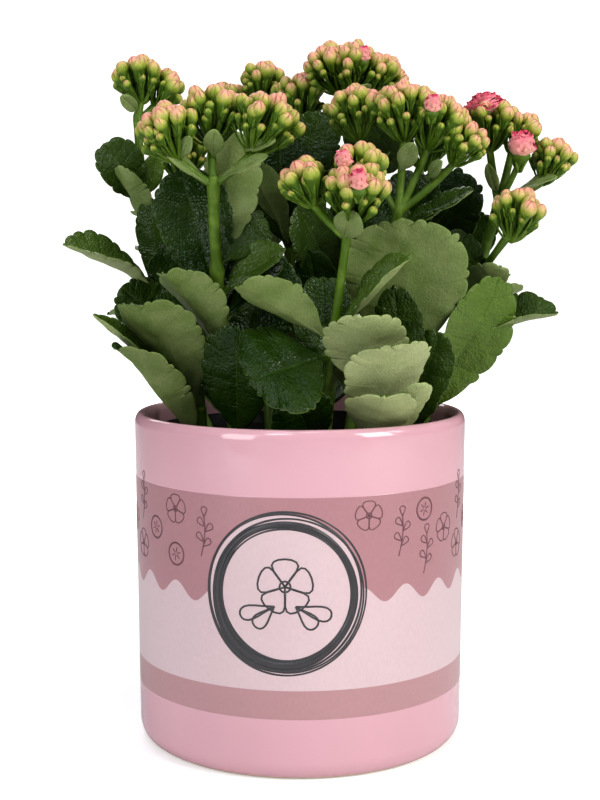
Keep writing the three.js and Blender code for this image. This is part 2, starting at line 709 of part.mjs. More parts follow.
addNode("ceramic_pot", ceramicPot(), 0xe4b4bf, 0.2);
addNode("grow_pot", liner(), 0x1c1c1e, 0.5);
addNode("soil", soil(SHOOTS.map(stemHole)), 0x3a2a20, 0.95);
for (const shoot of SHOOTS) addNode(`leafy_stem_${shoot.name}`, leafyStem(shoot), 0x4d7a2c, 0.5);
for (const head of HEADS) addNode(`flower_head_${head.name}`, flowerHead(head), 0xc9a860, 0.6);

export default group;
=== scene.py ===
"""A kalanchoe in bud in its printed cover pot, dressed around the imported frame.

Run as a script: it loads the frame, registers the add-on's classes and calls its operators in order.
The tables of leaves and flower heads are in millimetres, the settings and all that is made in metres.
The pot stands on the origin, and -Y faces the viewer.
"""

import json
import math
import bmesh
import bpy
from bpy.props import FloatProperty, FloatVectorProperty, IntProperty, PointerProperty
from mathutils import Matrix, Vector, noise

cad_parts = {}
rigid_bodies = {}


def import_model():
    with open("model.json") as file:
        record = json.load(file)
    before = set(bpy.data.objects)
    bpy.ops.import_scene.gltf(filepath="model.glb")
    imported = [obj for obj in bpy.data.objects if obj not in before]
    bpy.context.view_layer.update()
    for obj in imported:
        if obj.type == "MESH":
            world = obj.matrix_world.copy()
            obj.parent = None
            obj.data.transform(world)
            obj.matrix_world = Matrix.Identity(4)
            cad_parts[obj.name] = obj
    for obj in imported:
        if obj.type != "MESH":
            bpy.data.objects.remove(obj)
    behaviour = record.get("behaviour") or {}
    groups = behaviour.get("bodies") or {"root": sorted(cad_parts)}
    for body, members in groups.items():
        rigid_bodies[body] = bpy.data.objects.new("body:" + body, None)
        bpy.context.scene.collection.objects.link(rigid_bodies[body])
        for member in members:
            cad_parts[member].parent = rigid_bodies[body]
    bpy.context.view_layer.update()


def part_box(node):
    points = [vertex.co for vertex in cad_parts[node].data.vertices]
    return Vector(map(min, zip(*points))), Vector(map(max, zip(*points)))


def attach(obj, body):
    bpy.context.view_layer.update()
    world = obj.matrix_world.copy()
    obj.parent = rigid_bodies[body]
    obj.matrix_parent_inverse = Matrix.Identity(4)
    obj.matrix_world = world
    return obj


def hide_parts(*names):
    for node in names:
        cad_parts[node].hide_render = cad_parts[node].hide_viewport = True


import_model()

bl_info = {
    "name": "Potted kalanchoe",
    "version": (1, 0, 0),
    "blender": (4, 5, 0),
    "location": "View3D > Sidebar > Kalanchoe",
    "description": "A kalanchoe in bud, with its grow pot, in a glazed and printed cover pot",
    "category": "Add Mesh",
}

MM = 0.001
TAU = math.tau
GOLDEN_ANGLE = math.radians(137.5)

POT_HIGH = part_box("ceramic_pot")[1]
POT_RADIUS = POT_HIGH.x
POT_FOOT_RADIUS = POT_RADIUS - 0.0011
# the rounding of the pot's foot and of its rim: across, up
POT_CORNER = (0.0064, 0.008)
POT_LIP = (0.0025, 0.004)
LINER_LOW, LINER_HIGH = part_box("grow_pot")
SOIL_LOW, SOIL_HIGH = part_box("soil")


# ---------- the plant: places in millimetres, angles in degrees ----------
def leaf(at, tip, width, face, arch=15, cup=20, wave=0):
    """A leaf that starts at a share of its stem's length and ends at a given tip."""
    return {"at": at, "tip": tip, "width": width, "face": face, "arch": arch, "cup": cup, "wave": wave}


def spray(at, heading, slope, length, width, arch=35, cup=18):
    """A leaf given by the way it heads instead of by its tip."""
    aim = {"heading": heading, "slope": slope, "length": length}
    return {"at": at, **aim, "width": width, "arch": arch, "cup": cup, "wave": 0}


def shoot(root, via, top, radius, leaves, side=None):
    """A bent stem from the soil, its radius at both ends, its leaves, and a side branch if it has one."""
    return {"root": root, "via": via, "top": top, "radius": radius, "leaves": leaves, "side": side}


def truss(at, reach, buds, axis=(0, 0, 1), spread=78):
    """A round bunch of buds that stands on one branch."""
    return {"at": at, "reach": reach, "buds": buds, "axis": axis, "spread": spread}


def bract(foot, tip, width, face):
    """The small plain leaf at a fork of a flower head."""
    plain = {"arch": 12, "cup": 15, "wave": 0, "pale": True, "tone": 0.1}
    return {"foot": foot, "tip": tip, "width": width, "face": face, **plain}


def bloom(at, axis, radius, opened, branch_from=None):
    """A flower, open from 0 to 1. Its branch starts at the head's fork where no other place is given."""
    return {"at": at, "axis": axis, "radius": radius, "open": opened, "from": branch_from}


SHOOTS = {
    "left_back": shoot((-30, 5), (-62, 12, 165), (-67, 16, 250), (2.3, 1.7), [
        leaf(0.8, (-79.5, 5, 242), 21, (0.35, -0.9, 0.1), 20, 22),
        leaf(0.71, (-73, 0, 233), 18, (0.6, 0.5, 0.6)),
        leaf(0.82, (-59, 14, 239), 10, (0.3, -0.8, 0.4), 10, 15),
        leaf(0.54, (-94, -12, 201.5), 26, (0.15, -0.35, 0.9), 25, 35),
        leaf(0.45, (-72.5, -2, 184), 23, (-0.3, -0.8, 0.4), 10, 10),
        leaf(0.52, (-60.5, 3, 220), 16, (-0.4, -0.85, 0.2), 10, 10),
        leaf(0.3, (-50, 3, 206), 26, (-0.1, -0.95, 0.2), 10, 10),
    ]),
    "front_left": shoot((-22, -16), (-33, -22, 165), (-33, -35, 222), (2.7, 2.2), [
        leaf(0.61, (-47, -14, 230), 30, (-0.05, -0.9, 0.4), 10, 10),
        leaf(0.42, (-52, -42, 191), 28, (0.35, 0.55, 0.75), 25, 30),
        leaf(0.11, (-24, -40, 170), 29, (-0.3, -0.9, 0.2), 10, 10),
        leaf(0.3, (-13, -11, 199), 34, (0.2, -0.9, 0.2), 10, 12),
        leaf(0.65, (-6, -30, 200), 24, (-0.3, -0.6, 0.7), -10, 30),
        leaf(0.55, (-8, -20, 195), 16, (-0.3, -0.6, 0.7), 5, 25),
        leaf(0.74, (-20, -12, 216), 26, (0.2, -0.9, 0.3), 15, 5, 1.5),
        leaf(0.72, (-27, -4, 246), 26, (0.2, 0.8, 0.5), 10, 15),
    ]),
    "left_low": shoot((-38, -14), (-39, -15, 130), (-40, -17, 146), (2.4, 1.6), [
        leaf(0.7, (-63, -46, 180), 32, (0.3, 0.7, 0.6), 25),
        leaf(0.4, (-79, -34, 175), 18, (0.7, -0.2, 0.7), 15, 40),
        leaf(0.22, (-70, -43, 163), 27, (0.35, 0.3, 0.85), 15, 35),
    ]),
    "back_left": shoot((-12, 26), (-17, 50, 175), (-20, 57, 248), (2.3, 1.7), [
        spray(0.3, 218, 30, 44, 30),
        spray(0.52, 235, 58, 46, 32),
        spray(0.74, 175, 32, 32, 22),
        spray(0.62, 75, 30, 40, 26),
    ]),
    "back_mid": shoot((-4, 12), (-6, 24, 180), (-2, 33, 248), (2.3, 1.7), [
        spray(0.22, 250, 48, 42, 28),
        spray(0.34, 238, 56, 46, 30),
        spray(0.46, 195, 44, 44, 30),
        leaf(0.62, (-9, 24, 246), 34, (-0.1, -0.9, 0.3), 15, 10),
        leaf(0.78, (9, 26, 256), 24, (0.1, -0.9, 0.2), 10, 12),
        leaf(0.64, (-21, 12, 236), 17, (0.35, 0.85, 0.3), 10, 15),
    ]),
    "back_centre": shoot((10, 14), (16, 20, 180), (22, 24, 256), (2.4, 1.8), [
        spray(0.2, 268, 42, 38, 26),
        spray(0.36, 10, 40, 44, 28),
        spray(0.6, 330, 62, 48, 34),
        leaf(0.5, (-1, -8, 216), 26, (0.3, -0.9, 0.2), 10, 15),
        leaf(0.8, (36, 14, 250), 25, (0.1, -0.9, 0.2), 10, 12),
        leaf(0.24, (4, -2, 199), 21, (0, -0.9, 0.3), 10, 10),
        leaf(0.58, (27, 4, 227), 22, (0.1, -0.9, 0.3), 10, 12),
    ]),
    "right_front": shoot((18, -8), (25, -7, 165), (38, -15, 212), (2.3, 1.8), [
        spray(0.26, 240, 48, 36, 22),
        leaf(0.93, (67, -24, 223), 12, (-0.3, -0.5, 0.8), 10, 25),
        leaf(0.9, (56, -2, 218), 14, (-0.3, -0.5, 0.8), 10, 25),
        leaf(0.8, (49, 4, 230), 28, (-0.3, -0.85, 0.3), 10, 12),
    ]),
    "right_low": shoot((42, -15), (43, -16, 140), (44, -17, 158), (2.4, 1.6), [
        leaf(0.8, (39.3, -32, 211), 47, (0.1, 0.95, 0.25), 15, 3),
        leaf(0.5, (36, -36, 186), 20, (-0.1, -0.95, 0.2), 10, 10),
        leaf(0.2, (55, -29, 167), 23, (-0.5, -0.8, 0.2), 10, 15),
    ]),
    "front": shoot((4, -28), (12, -40, 160), (17, -52, 202), (2.1, 1.6), [
        leaf(0.51, (-19, -56, 150), 42, (-0.25, -0.8, 0.5), 30, 5, 1.5),
        leaf(0.58, (-22, -56, 186), 24, (0.1, 0.55, 0.8), 20, 25),
        leaf(0.62, (42, -50, 197), 18, (-0.6, -0.3, 0.7), 5, 40),
        leaf(0.35, (9, -27, 189), 24, (0, -0.9, 0.3), 10, 15),
        leaf(0.12, (-3, -54, 147), 24, (-0.1, -0.85, 0.4), 15, 10),
    ]),
    "front_low": shoot((28, -34), (29, -35, 130), (31, -37, 148), (2.2, 1.5), [
        leaf(0.8, (21, -62, 176), 32, (0, 0.75, 0.65), 20, 15),
        leaf(0.5, (37, -62, 165), 36, (-0.35, 0.7, 0.6), 20, 12),
        leaf(0.3, (31, -62, 146), 26, (0, 0.7, 0.7), 20, 15),
        leaf(0.2, (47, -52, 150), 15, (-0.2, 0.8, 0.5), 15, 15),
    ]),
    "right": shoot((42, 4), (66, -4, 165), (80, 3, 216), (2.6, 2), [
        leaf(0.17, (78.5, -20, 188.5), 29, (0.45, -0.8, 0.35), 10),
        leaf(0.47, (103.5, -8, 174), 27, (-0.2, -0.4, 0.88), 20, 35),
        leaf(0.6, (92, 14, 183), 14, (0, 0.5, 0.8), 10, 10),
        leaf(0.58, (58, -9, 207), 25, (0, -0.9, 0.4), 10, 10),
        leaf(0.55, (79, -18, 193), 20, (0.1, 0.6, 0.8), 10, 30),
    ], side={"at": 0.72, "via": (74.5, -8, 193), "top": (80.5, -12, 202), "radius": (1.7, 1.5)}),
    "rear_left": shoot((-24, 24), (-44, 44, 165), (-52, 56, 226), (2.3, 1.7), [
        spray(0.12, 150, 38, 50, 32),
        spray(0.3, 118, 30, 52, 32),
        spray(0.42, 190, 18, 46, 28),
        spray(0.6, 140, 30, 42, 26),
        spray(0.76, 200, 35, 32, 20),
        spray(0.8, 60, 45, 30, 18),
    ]),
    "rear_right": shoot((26, 22), (46, 40, 175), (52, 46, 232), (2.3, 1.7), [
        spray(0.12, 22, 38, 50, 32),
        spray(0.3, 60, 30, 52, 32),
        spray(0.44, 5, 22, 48, 30),
        spray(0.6, 45, 32, 42, 26),
        spray(0.78, 80, 42, 32, 20),
        leaf(0.62, (72, 25, 229), 37, (-0.2, -0.85, 0.5), 15, 15),
        leaf(0.5, (82, 24, 212), 22, (-0.2, -0.85, 0.5), 15, 15),
    ]),
    "rear": shoot((6, 34), (8, 62, 165), (10, 76, 218), (2.3, 1.7), [
        spray(0.12, 55, 30, 50, 32),
        spray(0.14, 130, 26, 50, 32),
        spray(0.32, 95, 20, 52, 34, 45),
        spray(0.5, 35, 28, 44, 28),
        spray(0.52, 150, 30, 42, 28),
        spray(0.72, 92, 42, 34, 22),
    ]),
}

HEADS = {
    "left_back": [
        truss((-67, 16, 267.5), 9.5, 6, (-0.2, 0, 1)),
        truss((-57.5, 20, 265), 8, 4, (0.4, 0, 1)),
    ],
    "front_left": [
        truss((-50, -39, 242), 11, 8, (-0.4, -0.1, 1)),
        truss((-34, -28, 249.5), 12, 8, (0, 0.1, 1)),
        truss((-14, -35, 246), 12.5, 8, (0.4, -0.1, 1)),
    ],
    "back_left": [
        truss((-17, 58, 270), 9.5, 6),
        truss((-33, 58, 262), 8.5, 5, (-0.3, 0, 1)),
    ],
    "back_mid": [truss((-1, 36, 261), 11, 7)],
    "back_centre": [
        truss((12.5, 24, 272.5), 10.5, 6, (-0.4, -0.1, 1)),
        truss((22, 22, 273), 11, 6, (0, -0.2, 1)),
        truss((32.5, 27, 269.5), 10.5, 6, (0.45, 0, 1)),
    ],
    "right_front": [
        truss((22, -6, 252), 11, 8, (-0.2, 0, 1)),
        truss((40, -16, 252), 12, 8, (-0.1, -0.1, 1)),
        truss((53, -14, 248), 11.5, 7, (0.3, 0, 1)),
        truss((64, -15, 240), 9.5, 6, (0.5, -0.1, 1)),
    ],
    "front": [
        truss((2, -54, 223), 8.5, 5, (-0.4, -0.1, 1)),
        truss((22, -50, 229), 9, 5, (0.1, 0.1, 1)),
        truss((20, -57, 219), 11.5, 8, (0.1, -0.35, 1)),
    ],
    "right": [
        truss((77, 5, 248.5), 11, 7),
        truss((88.5, 5, 245.5), 8.5, 4, (0.4, 0, 1)),
        truss((101.5, 5, 234), 9.5, 6, (0.3, 0, 1)),
    ],
    "right_side": [truss((85, -14, 212), 10.5, 6, (0.15, -0.1, 1))],
    "rear_left": [truss((-52, 57, 239), 12, 7)],
    "rear_right": [truss((54, 47, 244), 12, 7)],
    "rear": [truss((10, 78, 231), 12, 7)],
}

BRACTS = {
    "left_back": [bract((-66.8, 16, 256), (-73, 8, 262), 6, (-0.3, -0.8, 0.3))],
    "front_left": [
        bract((-35, -36, 225), (-51, -41, 237), 7, (0.3, -0.6, 0.7)),
        bract((-45, -39, 234), (-41, -44, 242), 6, (-0.2, -0.9, 0.2)),
        bract((-33, -32.5, 235), (-32, -41, 245), 8.5, (0, -0.9, 0.3)),
        bract((-21, -36, 237), (-9, -41, 241), 5.5, (0.1, -0.8, 0.6)),
        bract((-31, -36, 226), (-12, -43, 235), 8, (-0.2, -0.7, 0.7)),
    ],
    "back_centre": [bract((24, 23, 260), (27, 12, 266), 10, (0, -0.6, 0.8))],
    "right_front": [
        bract((39.5, -16, 230), (44, -23, 241), 8.5, (0.1, -0.9, 0.3)),
        bract((50, -16, 227), (56, -21, 234), 6, (0, -0.8, 0.5)),
    ],
    "front": [bract((16, -53, 204), (20, -62, 214), 12, (0, -0.95, 0.3))],
    "right": [
        bract((80.3, 3.6, 222), (75, -6, 234), 5.5, (-0.3, -0.8, 0.3)),
        bract((87, 3, 222), (104, -1, 229), 9, (-0.2, -0.5, 0.8)),
    ],
}

BLOOMS = {
    "right": [
        bloom((74.5, 3, 258.5), (-0.2, -0.25, 1), 8.6, 1.0, (77, 5, 248)),
        bloom((88.5, -6, 241.5), (0.05, -0.35, 1), 7, 0.5),
    ],
}

# buds that just show colour
OPENING = {
    "right_front": [bloom((51, -27, 255.5), (0.1, -0.3, 1), 4.6, 0.22)],
    "back_centre": [bloom((26, 13, 279), (0.1, -0.3, 1), 4.2, 0.2)],
    "front": [
        bloom((16, -57, 233), (-0.2, -0.2, 1), 4.6, 0.1),
        bloom((21, -69, 225), (0, -0.4, 1), 4.9, 0.1),
    ],
}

# how pale and young a leaf looks, about 0 to 1, by its shoot and its place in the list. The listed values are
# also
# painted light and shade: they make leaves lighter or darker as the light falls on them, and give one a
# painted sheen.
# A leaf that isn't listed takes its tone from its length and its number.
TONES_AND_PAINTED_LIGHT = {
    "front": {0: 0.05, 1: 0.1, 2: 0.6},
    "front_left": {0: 0.05, 1: 0.1, 3: 0.0, 4: 0.5},
    "front_low": {0: 1.0, 1: 1.3, 2: 1.2, 3: 1.0},
    "left_back": {3: 0.7},
    "left_low": {0: -0.2, 1: 0.6, 2: -0.3},
    "right": {0: 0.95, 1: 0.3},
    "right_low": {0: 0.0, 1: 0.2, 2: 0.35},
}

# how many buds grow for each bud of the table, and how large they are; the other heads have 2.5 and 1
FULLNESS = {"front": 1.7, "right_side": 2.0, "left_back": 2.2}
BUD_SCALE = {"front": 1.07, "right_side": 1.06}


# ---------- settings ----------
def length_setting(name, description, default):
    return FloatProperty(
        name=name, description=description, default=default, min=0, unit="LENGTH", subtype="DISTANCE"
    )


def colour_setting(name, description, default):
    return FloatVectorProperty(
        name=name, description=description, default=default, size=3, min=0, max=1, subtype="COLOR"
    )


def from_screen(red, green, blue):
    """A colour as read off a screen, 0 to 255, turned into the linear values that shaders take."""

    def linear(value):
        value /= 255
        return value / 12.92 if value <= 0.04045 else ((value + 0.055) / 1.055) ** 2.4

    return linear(red), linear(green), linear(blue)


# shades that the finishes pass through
# pale green of a young leaf, also painted on as light and sheen on lit leaves
YOUNG_AND_PAINTED_LIT_LEAF = from_screen(92, 116, 46)
LEAF_RIB = from_screen(104, 136, 52)
LEAF_UNDER_BLOTCH = from_screen(112, 133, 68)
# pale bloom of an under face, mixed in by the tone, so partly painted light
LEAF_BLOOM_AND_PAINTED_LIGHT = from_screen(152, 156, 118)
LEAF_STRAND = from_screen(90, 112, 50)
LEAF_RIM = from_screen(132, 152, 80)
STEM_FOOT = from_screen(78, 104, 30)
STEM_BLOTCH = from_screen(108, 134, 48)
BUD_LIME = from_screen(146, 160, 58)
BUD_STRAW = from_screen(190, 172, 104)
BUD_SEAM = from_screen(186, 88, 86)
BUD_GROOVE = from_screen(74, 100, 26)
SEPAL = from_screen(98, 128, 40)
PETAL_FOOT = from_screen(240, 150, 170)
PETAL_BACK_FOOT = from_screen(190, 190, 110)
PETAL_BACK = from_screen(222, 158, 142)
PETAL_BACK_TIP = from_screen(226, 134, 142)
PETAL_EDGE = from_screen(212, 34, 84)
PLASTIC = (0.012, 0.012, 0.013)
PEAT_DARK = (0.010, 0.006, 0.004)
PEAT_BROWN = (0.045, 0.026, 0.014)
PEAT_FIBRE = (0.12, 0.08, 0.045)
CARD = (0.86, 0.86, 0.86)


class CoverPotSettings(bpy.types.PropertyGroup):
    sides: IntProperty(name="Sides", description="Facets round the turned pots", default=160, min=24)
    band_top: length_setting("Band top", "Height of the upper edge of the mauve band", 0.109)
    band_edge: length_setting("Band edge", "Mean height of the scalloped lower edge", 0.0706)
    wave_depth: length_setting("Scallop depth", "How far the scallops hang down", 0.003)
    wave_length: length_setting("Scallop length", "Length of one scallop round the pot", 0.0193)
    field_bottom: length_setting("Field bottom", "Height of the lower edge of the pale field", 0.0358)
    stripe_bottom: length_setting("Stripe bottom", "Height of the lower edge of the stripe", 0.0246)
    medallion_across: FloatProperty(
        name="Medallion offset",
        description="Middle of the medallion along the wall, from the front",
        default=-0.0056,
        unit="LENGTH",
    )
    medallion_height: length_setting("Medallion height", "Height of the medallion's middle", 0.0726)
    medallion_radius: length_setting("Medallion radius", "Radius of the medallion's pale disc", 0.0302)
    glaze: colour_setting("Glaze", "Bare pink glaze", from_screen(207, 161, 170))
    band: colour_setting("Band", "Mauve band", from_screen(169, 124, 129))
    field: colour_setting("Field", "Pale field and disc", from_screen(205, 181, 184))
    stripe: colour_setting("Stripe", "Lower stripe", from_screen(176, 135, 138))
    ink: colour_setting("Ink", "Dark ring strokes", from_screen(62, 60, 62))
    outline: colour_setting("Outline", "Thin motif lines", from_screen(112, 74, 80))
    clay: colour_setting("Clay", "Unglazed foot", from_screen(205, 180, 150))


class PlantSettings(bpy.types.PropertyGroup):
    leaf_thickness: length_setting("Leaf thickness", "Thickness at the base of a blade", 0.0022)
    lobe_depth: FloatProperty(
        name="Lobe depth", description="Depth of the scallops as a share of leaf width", default=0.05
    )
    bud_size: FloatProperty(name="Bud size", description="Scale of every bud", default=1.0)
    upper: colour_setting("Upper face", "Mature upper face of a leaf", from_screen(17, 42, 0))
    under: colour_setting("Under face", "Under face of a leaf", from_screen(137, 152, 94))
    stem: colour_setting("Stem", "Skin of the stems", from_screen(72, 99, 8))
    bud_green: colour_setting("Bud base", "Green foot of a bud", from_screen(76, 104, 20))
    bud_tip: colour_setting("Bud tip", "Ripe tip of a bud", from_screen(220, 158, 134))
    petal: colour_setting("Petal", "Inner face of an open flower", from_screen(234, 84, 126))


class StageSettings(bpy.types.PropertyGroup):
    camera_distance: length_setting("Camera distance", "From the pot's axis", 0.612)
    camera_height: length_setting("Camera height", "Above the floor", 0.205)
    camera_pitch: FloatProperty(
        name="Camera pitch", description="Tilt down from level", default=0.109, unit="ROTATION"
    )
    lens: FloatProperty(name="Lens", description="Focal length in millimetres", default=67.5)
    floor_size: length_setting("Floor size", "Side of the floor sheet", 6.0)
    fill: FloatProperty(name="Fill", description="Strength of the light from all round", default=0.04)


# ---------- nodes ----------
class Bench:
    """Adds nodes to a tree. An input takes a socket or a plain value."""

    def __init__(self, tree):
        self.tree = tree

    def add(self, kind, inputs=None, **settings):
        node = self.tree.nodes.new(kind)
        for name, value in settings.items():
            setattr(node, name, value)
        for key, value in (inputs or {}).items():
            self.feed(node.inputs[key], value)
        return node

    def first(self, kind, inputs=None, **settings):
        """The first output of a new node."""
        return self.add(kind, inputs, **settings).outputs[0]

    def feed(self, socket, value):
        if isinstance(value, bpy.types.NodeSocket):
            self.tree.links.new(value, socket)
        else:
            socket.default_value = value

    def maths(self, operation, *values):
        return self.first("ShaderNodeMath", dict(enumerate(values)), operation=operation)

    def sum_of(self, first, *others):
        for other in others:
            first = self.maths("ADD", first, other)
        return first

    def less(self, first, second):
        """The first less the second."""
        return self.maths("SUBTRACT", first, second)

    def product(self, first, *others):
        for other in others:
            first = self.maths("MULTIPLY", first, other)
        return first

    def tuned(self, value, gain, base):
        """A value times a gain, on a base."""
        return self.maths("MULTIPLY_ADD", value, gain, base)

    def distance(self, x, y):
        return self.maths("SQRT", self.sum_of(self.product(x, x), self.product(y, y)))

    def vectors(self, operation, first, *others):
        for other in others or (None,):
            inputs = {0: first} if other is None else {0: first, 1: other}
            first = self.first("ShaderNodeVectorMath", inputs, operation=operation)
        return first

    def scaled(self, vector, factor):
        return self.first("ShaderNodeVectorMath", {0: vector, 3: factor}, operation="SCALE")

    def split(self, vector):
        return self.add("ShaderNodeSeparateXYZ", {0: vector}).outputs

    def joined(self, x, y, z):
        return self.first("ShaderNodeCombineXYZ", {0: x, 1: y, 2: z})

    def seen_by_camera(self):
        return self.add("ShaderNodeLightPath").outputs["Is Camera Ray"]

    def ramp(self, value, low, high, start=0.0, end=1.0, blend="SMOOTHSTEP"):
        """Runs from start to end while the value runs from low to high."""
        inputs = {0: value, 1: low, 2: high, 3: start, 4: end}
        return self.first("ShaderNodeMapRange", inputs, interpolation_type=blend)


class Finish(Bench):
    """A material's nodes, around one Principled shader."""

    def __init__(self, name, **shader):
        self.material = bpy.data.materials.new(name)
        self.material.use_nodes = True
        super().__init__(self.material.node_tree)
        self.shader = self.tree.nodes["Principled BSDF"]
        for socket, value in shader.items():
            self.feed(self.shader.inputs[socket.replace("_", " ")], value)

    def done(self, colour, roughness, relief=None, depth=0.0, strength=1.0):
        """Ends the finish. The relief runs from 0 to 1 over the depth."""
        self.feed(self.shader.inputs["Base Color"], colour)
        self.feed(self.shader.inputs["Roughness"], roughness)
        if relief is not None:
            height = {"Height": relief, "Distance": depth, "Strength": strength}
            self.feed(self.shader.inputs["Normal"], self.first("ShaderNodeBump", height))
        return self.material

    def object_place(self):
        return self.add("ShaderNodeTexCoord").outputs["Object"]

    def trait(self, name):
        return self.add("ShaderNodeAttribute", attribute_name=name).outputs["Vector"]

    def mixed(self, amount, first, second, mode="MIX"):
        """The first colour, turned into the second by an amount from 0 to 1."""
        colours = {
            key: value if isinstance(value, bpy.types.NodeSocket) else (*value, 1.0)
            for key, value in ((6, first), (7, second))
        }
        node = self.add("ShaderNodeMix", {0: amount, **colours}, data_type="RGBA", blend_type=mode)
        return node.outputs[2]

    def between(self, amount, first, second):
        """The same for two values that aren't colours."""
        return self.first("ShaderNodeMix", {0: amount, 2: first, 3: second})

    def grain(self, place, scale, detail=2.0, roughness=0.5):
        inputs = {"Vector": place, "Scale": scale, "Detail": detail, "Roughness": roughness}
        return self.first("ShaderNodeTexNoise", inputs)

    def cells(self, place, scale):
        return self.add("ShaderNodeTexVoronoi", {"Vector": place, "Scale": scale}).outputs["Distance"]

    def shaded(self, colour, amount):
        """A colour made lighter or darker by a factor near 1."""
        return self.mixed(1.0, colour, self.joined(amount, amount, amount), "MULTIPLY")


VECTOR = "FLOAT_VECTOR"


class Rule(Bench):
    """A Geometry Nodes tree with named inputs, each given as (name, socket kind, default), and a finish."""

    def __init__(self, name, *inputs):
        super().__init__(bpy.data.node_groups.new(name, "GeometryNodeTree"))
        self.tree.is_modifier = True
        panel = self.tree.interface
        panel.new_socket("Geometry", in_out="INPUT", socket_type="NodeSocketGeometry")
        for label, kind, default in (*inputs, ("Finish", "Material", None)):
            socket = panel.new_socket(label, in_out="INPUT", socket_type="NodeSocket" + kind)
            if default is not None:
                socket.default_value = default
        panel.new_socket("Geometry", in_out="OUTPUT", socket_type="NodeSocketGeometry")
        self.entry = self.add("NodeGroupInput").outputs

    def position(self):
        return self.first("GeometryNodeInputPosition")

    def moved(self, geometry, place):
        return self.first("GeometryNodeSetPosition", {"Geometry": geometry, "Position": place})

    def named(self, name, kind="FLOAT"):
        return self.first("GeometryNodeInputNamedAttribute", {0: name}, data_type=kind)

    def stored(self, geometry, name, value, kind="FLOAT"):
        inputs = {"Geometry": geometry, "Name": name, "Value": value}
        return self.first("GeometryNodeStoreNamedAttribute", inputs, data_type=kind, domain="POINT")

    def chance(self, low, high, seed):
        return self.add("FunctionNodeRandomValue", {2: low, 3: high, "Seed": seed}).outputs[1]

    def shapes_in(self, collection):
        inputs = {0: collection, "Separate Children": True, "Reset Children": True}
        return self.first("GeometryNodeCollectionInfo", inputs)

    def real(self, geometry):
        return self.first("GeometryNodeRealizeInstances", {0: geometry})

    def together(self, *parts):
        joint = self.add("GeometryNodeJoinGeometry")
        for part in parts:
            self.feed(joint.inputs[0], part)
        return joint.outputs[0]

    def skin(self, curve, ring, girth):
        """A closed skin round a curve: the ring, scaled to the girth."""
        inputs = {"Curve": curve, "Profile Curve": ring, "Scale": girth, "Fill Caps": True}
        return self.first("GeometryNodeCurveToMesh", inputs)

    def closed(self, geometry):
        """Ends the tree: real geometry, smooth, with its finish."""
        smooth = self.first("GeometryNodeSetShadeSmooth", {0: self.real(geometry)})
        inputs = {"Geometry": smooth, "Material": self.entry["Finish"]}
        self.add("NodeGroupOutput", {0: self.first("GeometryNodeSetMaterial", inputs)})
        return self.tree


def grown(name, source, tree, values):
    """Runs a tree on a mesh, with inputs given by name, and returns the result as a plain piece."""
    seed = bpy.data.objects.new(name + "_rule", source)
    bpy.context.scene.collection.objects.link(seed)
    modifier = seed.modifiers.new("rule", "NODES")
    modifier.node_group = tree
    for item in tree.interface.items_tree:
        if item.item_type == "SOCKET" and item.in_out == "INPUT" and item.name in values:
            modifier[item.identifier] = values[item.name]
    seed.update_tag()
    graph = bpy.context.evaluated_depsgraph_get()
    mesh = bpy.data.meshes.new_from_object(seed.evaluated_get(graph))
    mesh.name = name
    bpy.data.objects.remove(seed)
    if not mesh.polygons:
        raise RuntimeError(f"{name} came out empty")
    return linked(name, mesh)


def shape_group(name, shapes):
    """A collection of shapes for a rule to copy."""
    group = bpy.data.collections.new(name)
    bpy.context.scene.collection.children.link(group)
    for shape in shapes:
        group.objects.link(shape)
    return group


def put_away(group):
    """Removes the shapes when their copies are made."""
    for shape in list(group.objects):
        bpy.data.objects.remove(shape)
    bpy.data.collections.remove(group)


# ---------- meshes ----------
def linked(name, mesh):
    piece = bpy.data.objects.new(name, mesh)
    bpy.context.scene.collection.objects.link(piece)
    return piece


class Body:
    """Gathers the points, faces and named traits of a mesh before it is made."""

    def __init__(self, *traits):
        self.points = []
        self.faces = []
        self.edges = []
        self.traits = {name: [] for name in traits}

    def point(self, place, **traits):
        self.points.append(place)
        for name, values in self.traits.items():
            values.append(traits[name])
        return len(self.points) - 1

    def mesh(self, name):
        mesh = bpy.data.meshes.new(name)
        mesh.from_pydata(self.points, self.edges, self.faces)
        for trait, values in self.traits.items():
            several = isinstance(values[0], (tuple, Vector))
            kind, field = ("FLOAT_VECTOR", "vector") if several else ("FLOAT", "value")
            layer = mesh.attributes.new(trait, kind, "POINT")
            flat = [number for value in values for number in value] if several else values
            layer.data.foreach_set(field, flat)
        return mesh

    def piece(self, name, finish):
        mesh = self.mesh(name)
        mesh.shade_smooth()
        mesh.materials.append(finish)
        return linked(name, mesh)


def settled(piece, slot, *nodes):
    """Rides a finished piece on the plant's one body, in place of the named nodes. The slot is not used."""
    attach(piece, "root")
    if nodes:
        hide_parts(*nodes)


def sides_of(direction):
    """Two directions square to the given one and to each other."""
    helper = Vector((0, 0, 1)) if abs(direction.z) < 0.9 else Vector((1, 0, 0))
    first = helper.cross(direction).normalized()
    return first, direction.cross(first)


def bent(a, b, c, t):
    """A point of the quadratic curve from a to c."""
    return a * (1 - t) ** 2 + b * (2 * t * (1 - t)) + c * t**2


def bent_way(a, b, c, t):
    """The direction of that curve."""
    return ((b - a) * (1 - t) + (c - b) * t).normalized()


def smooth_step(low, high, value):
    share = min(1.0, max(0.0, (value - low) / (high - low)))
    return share * share * (3 - 2 * share)


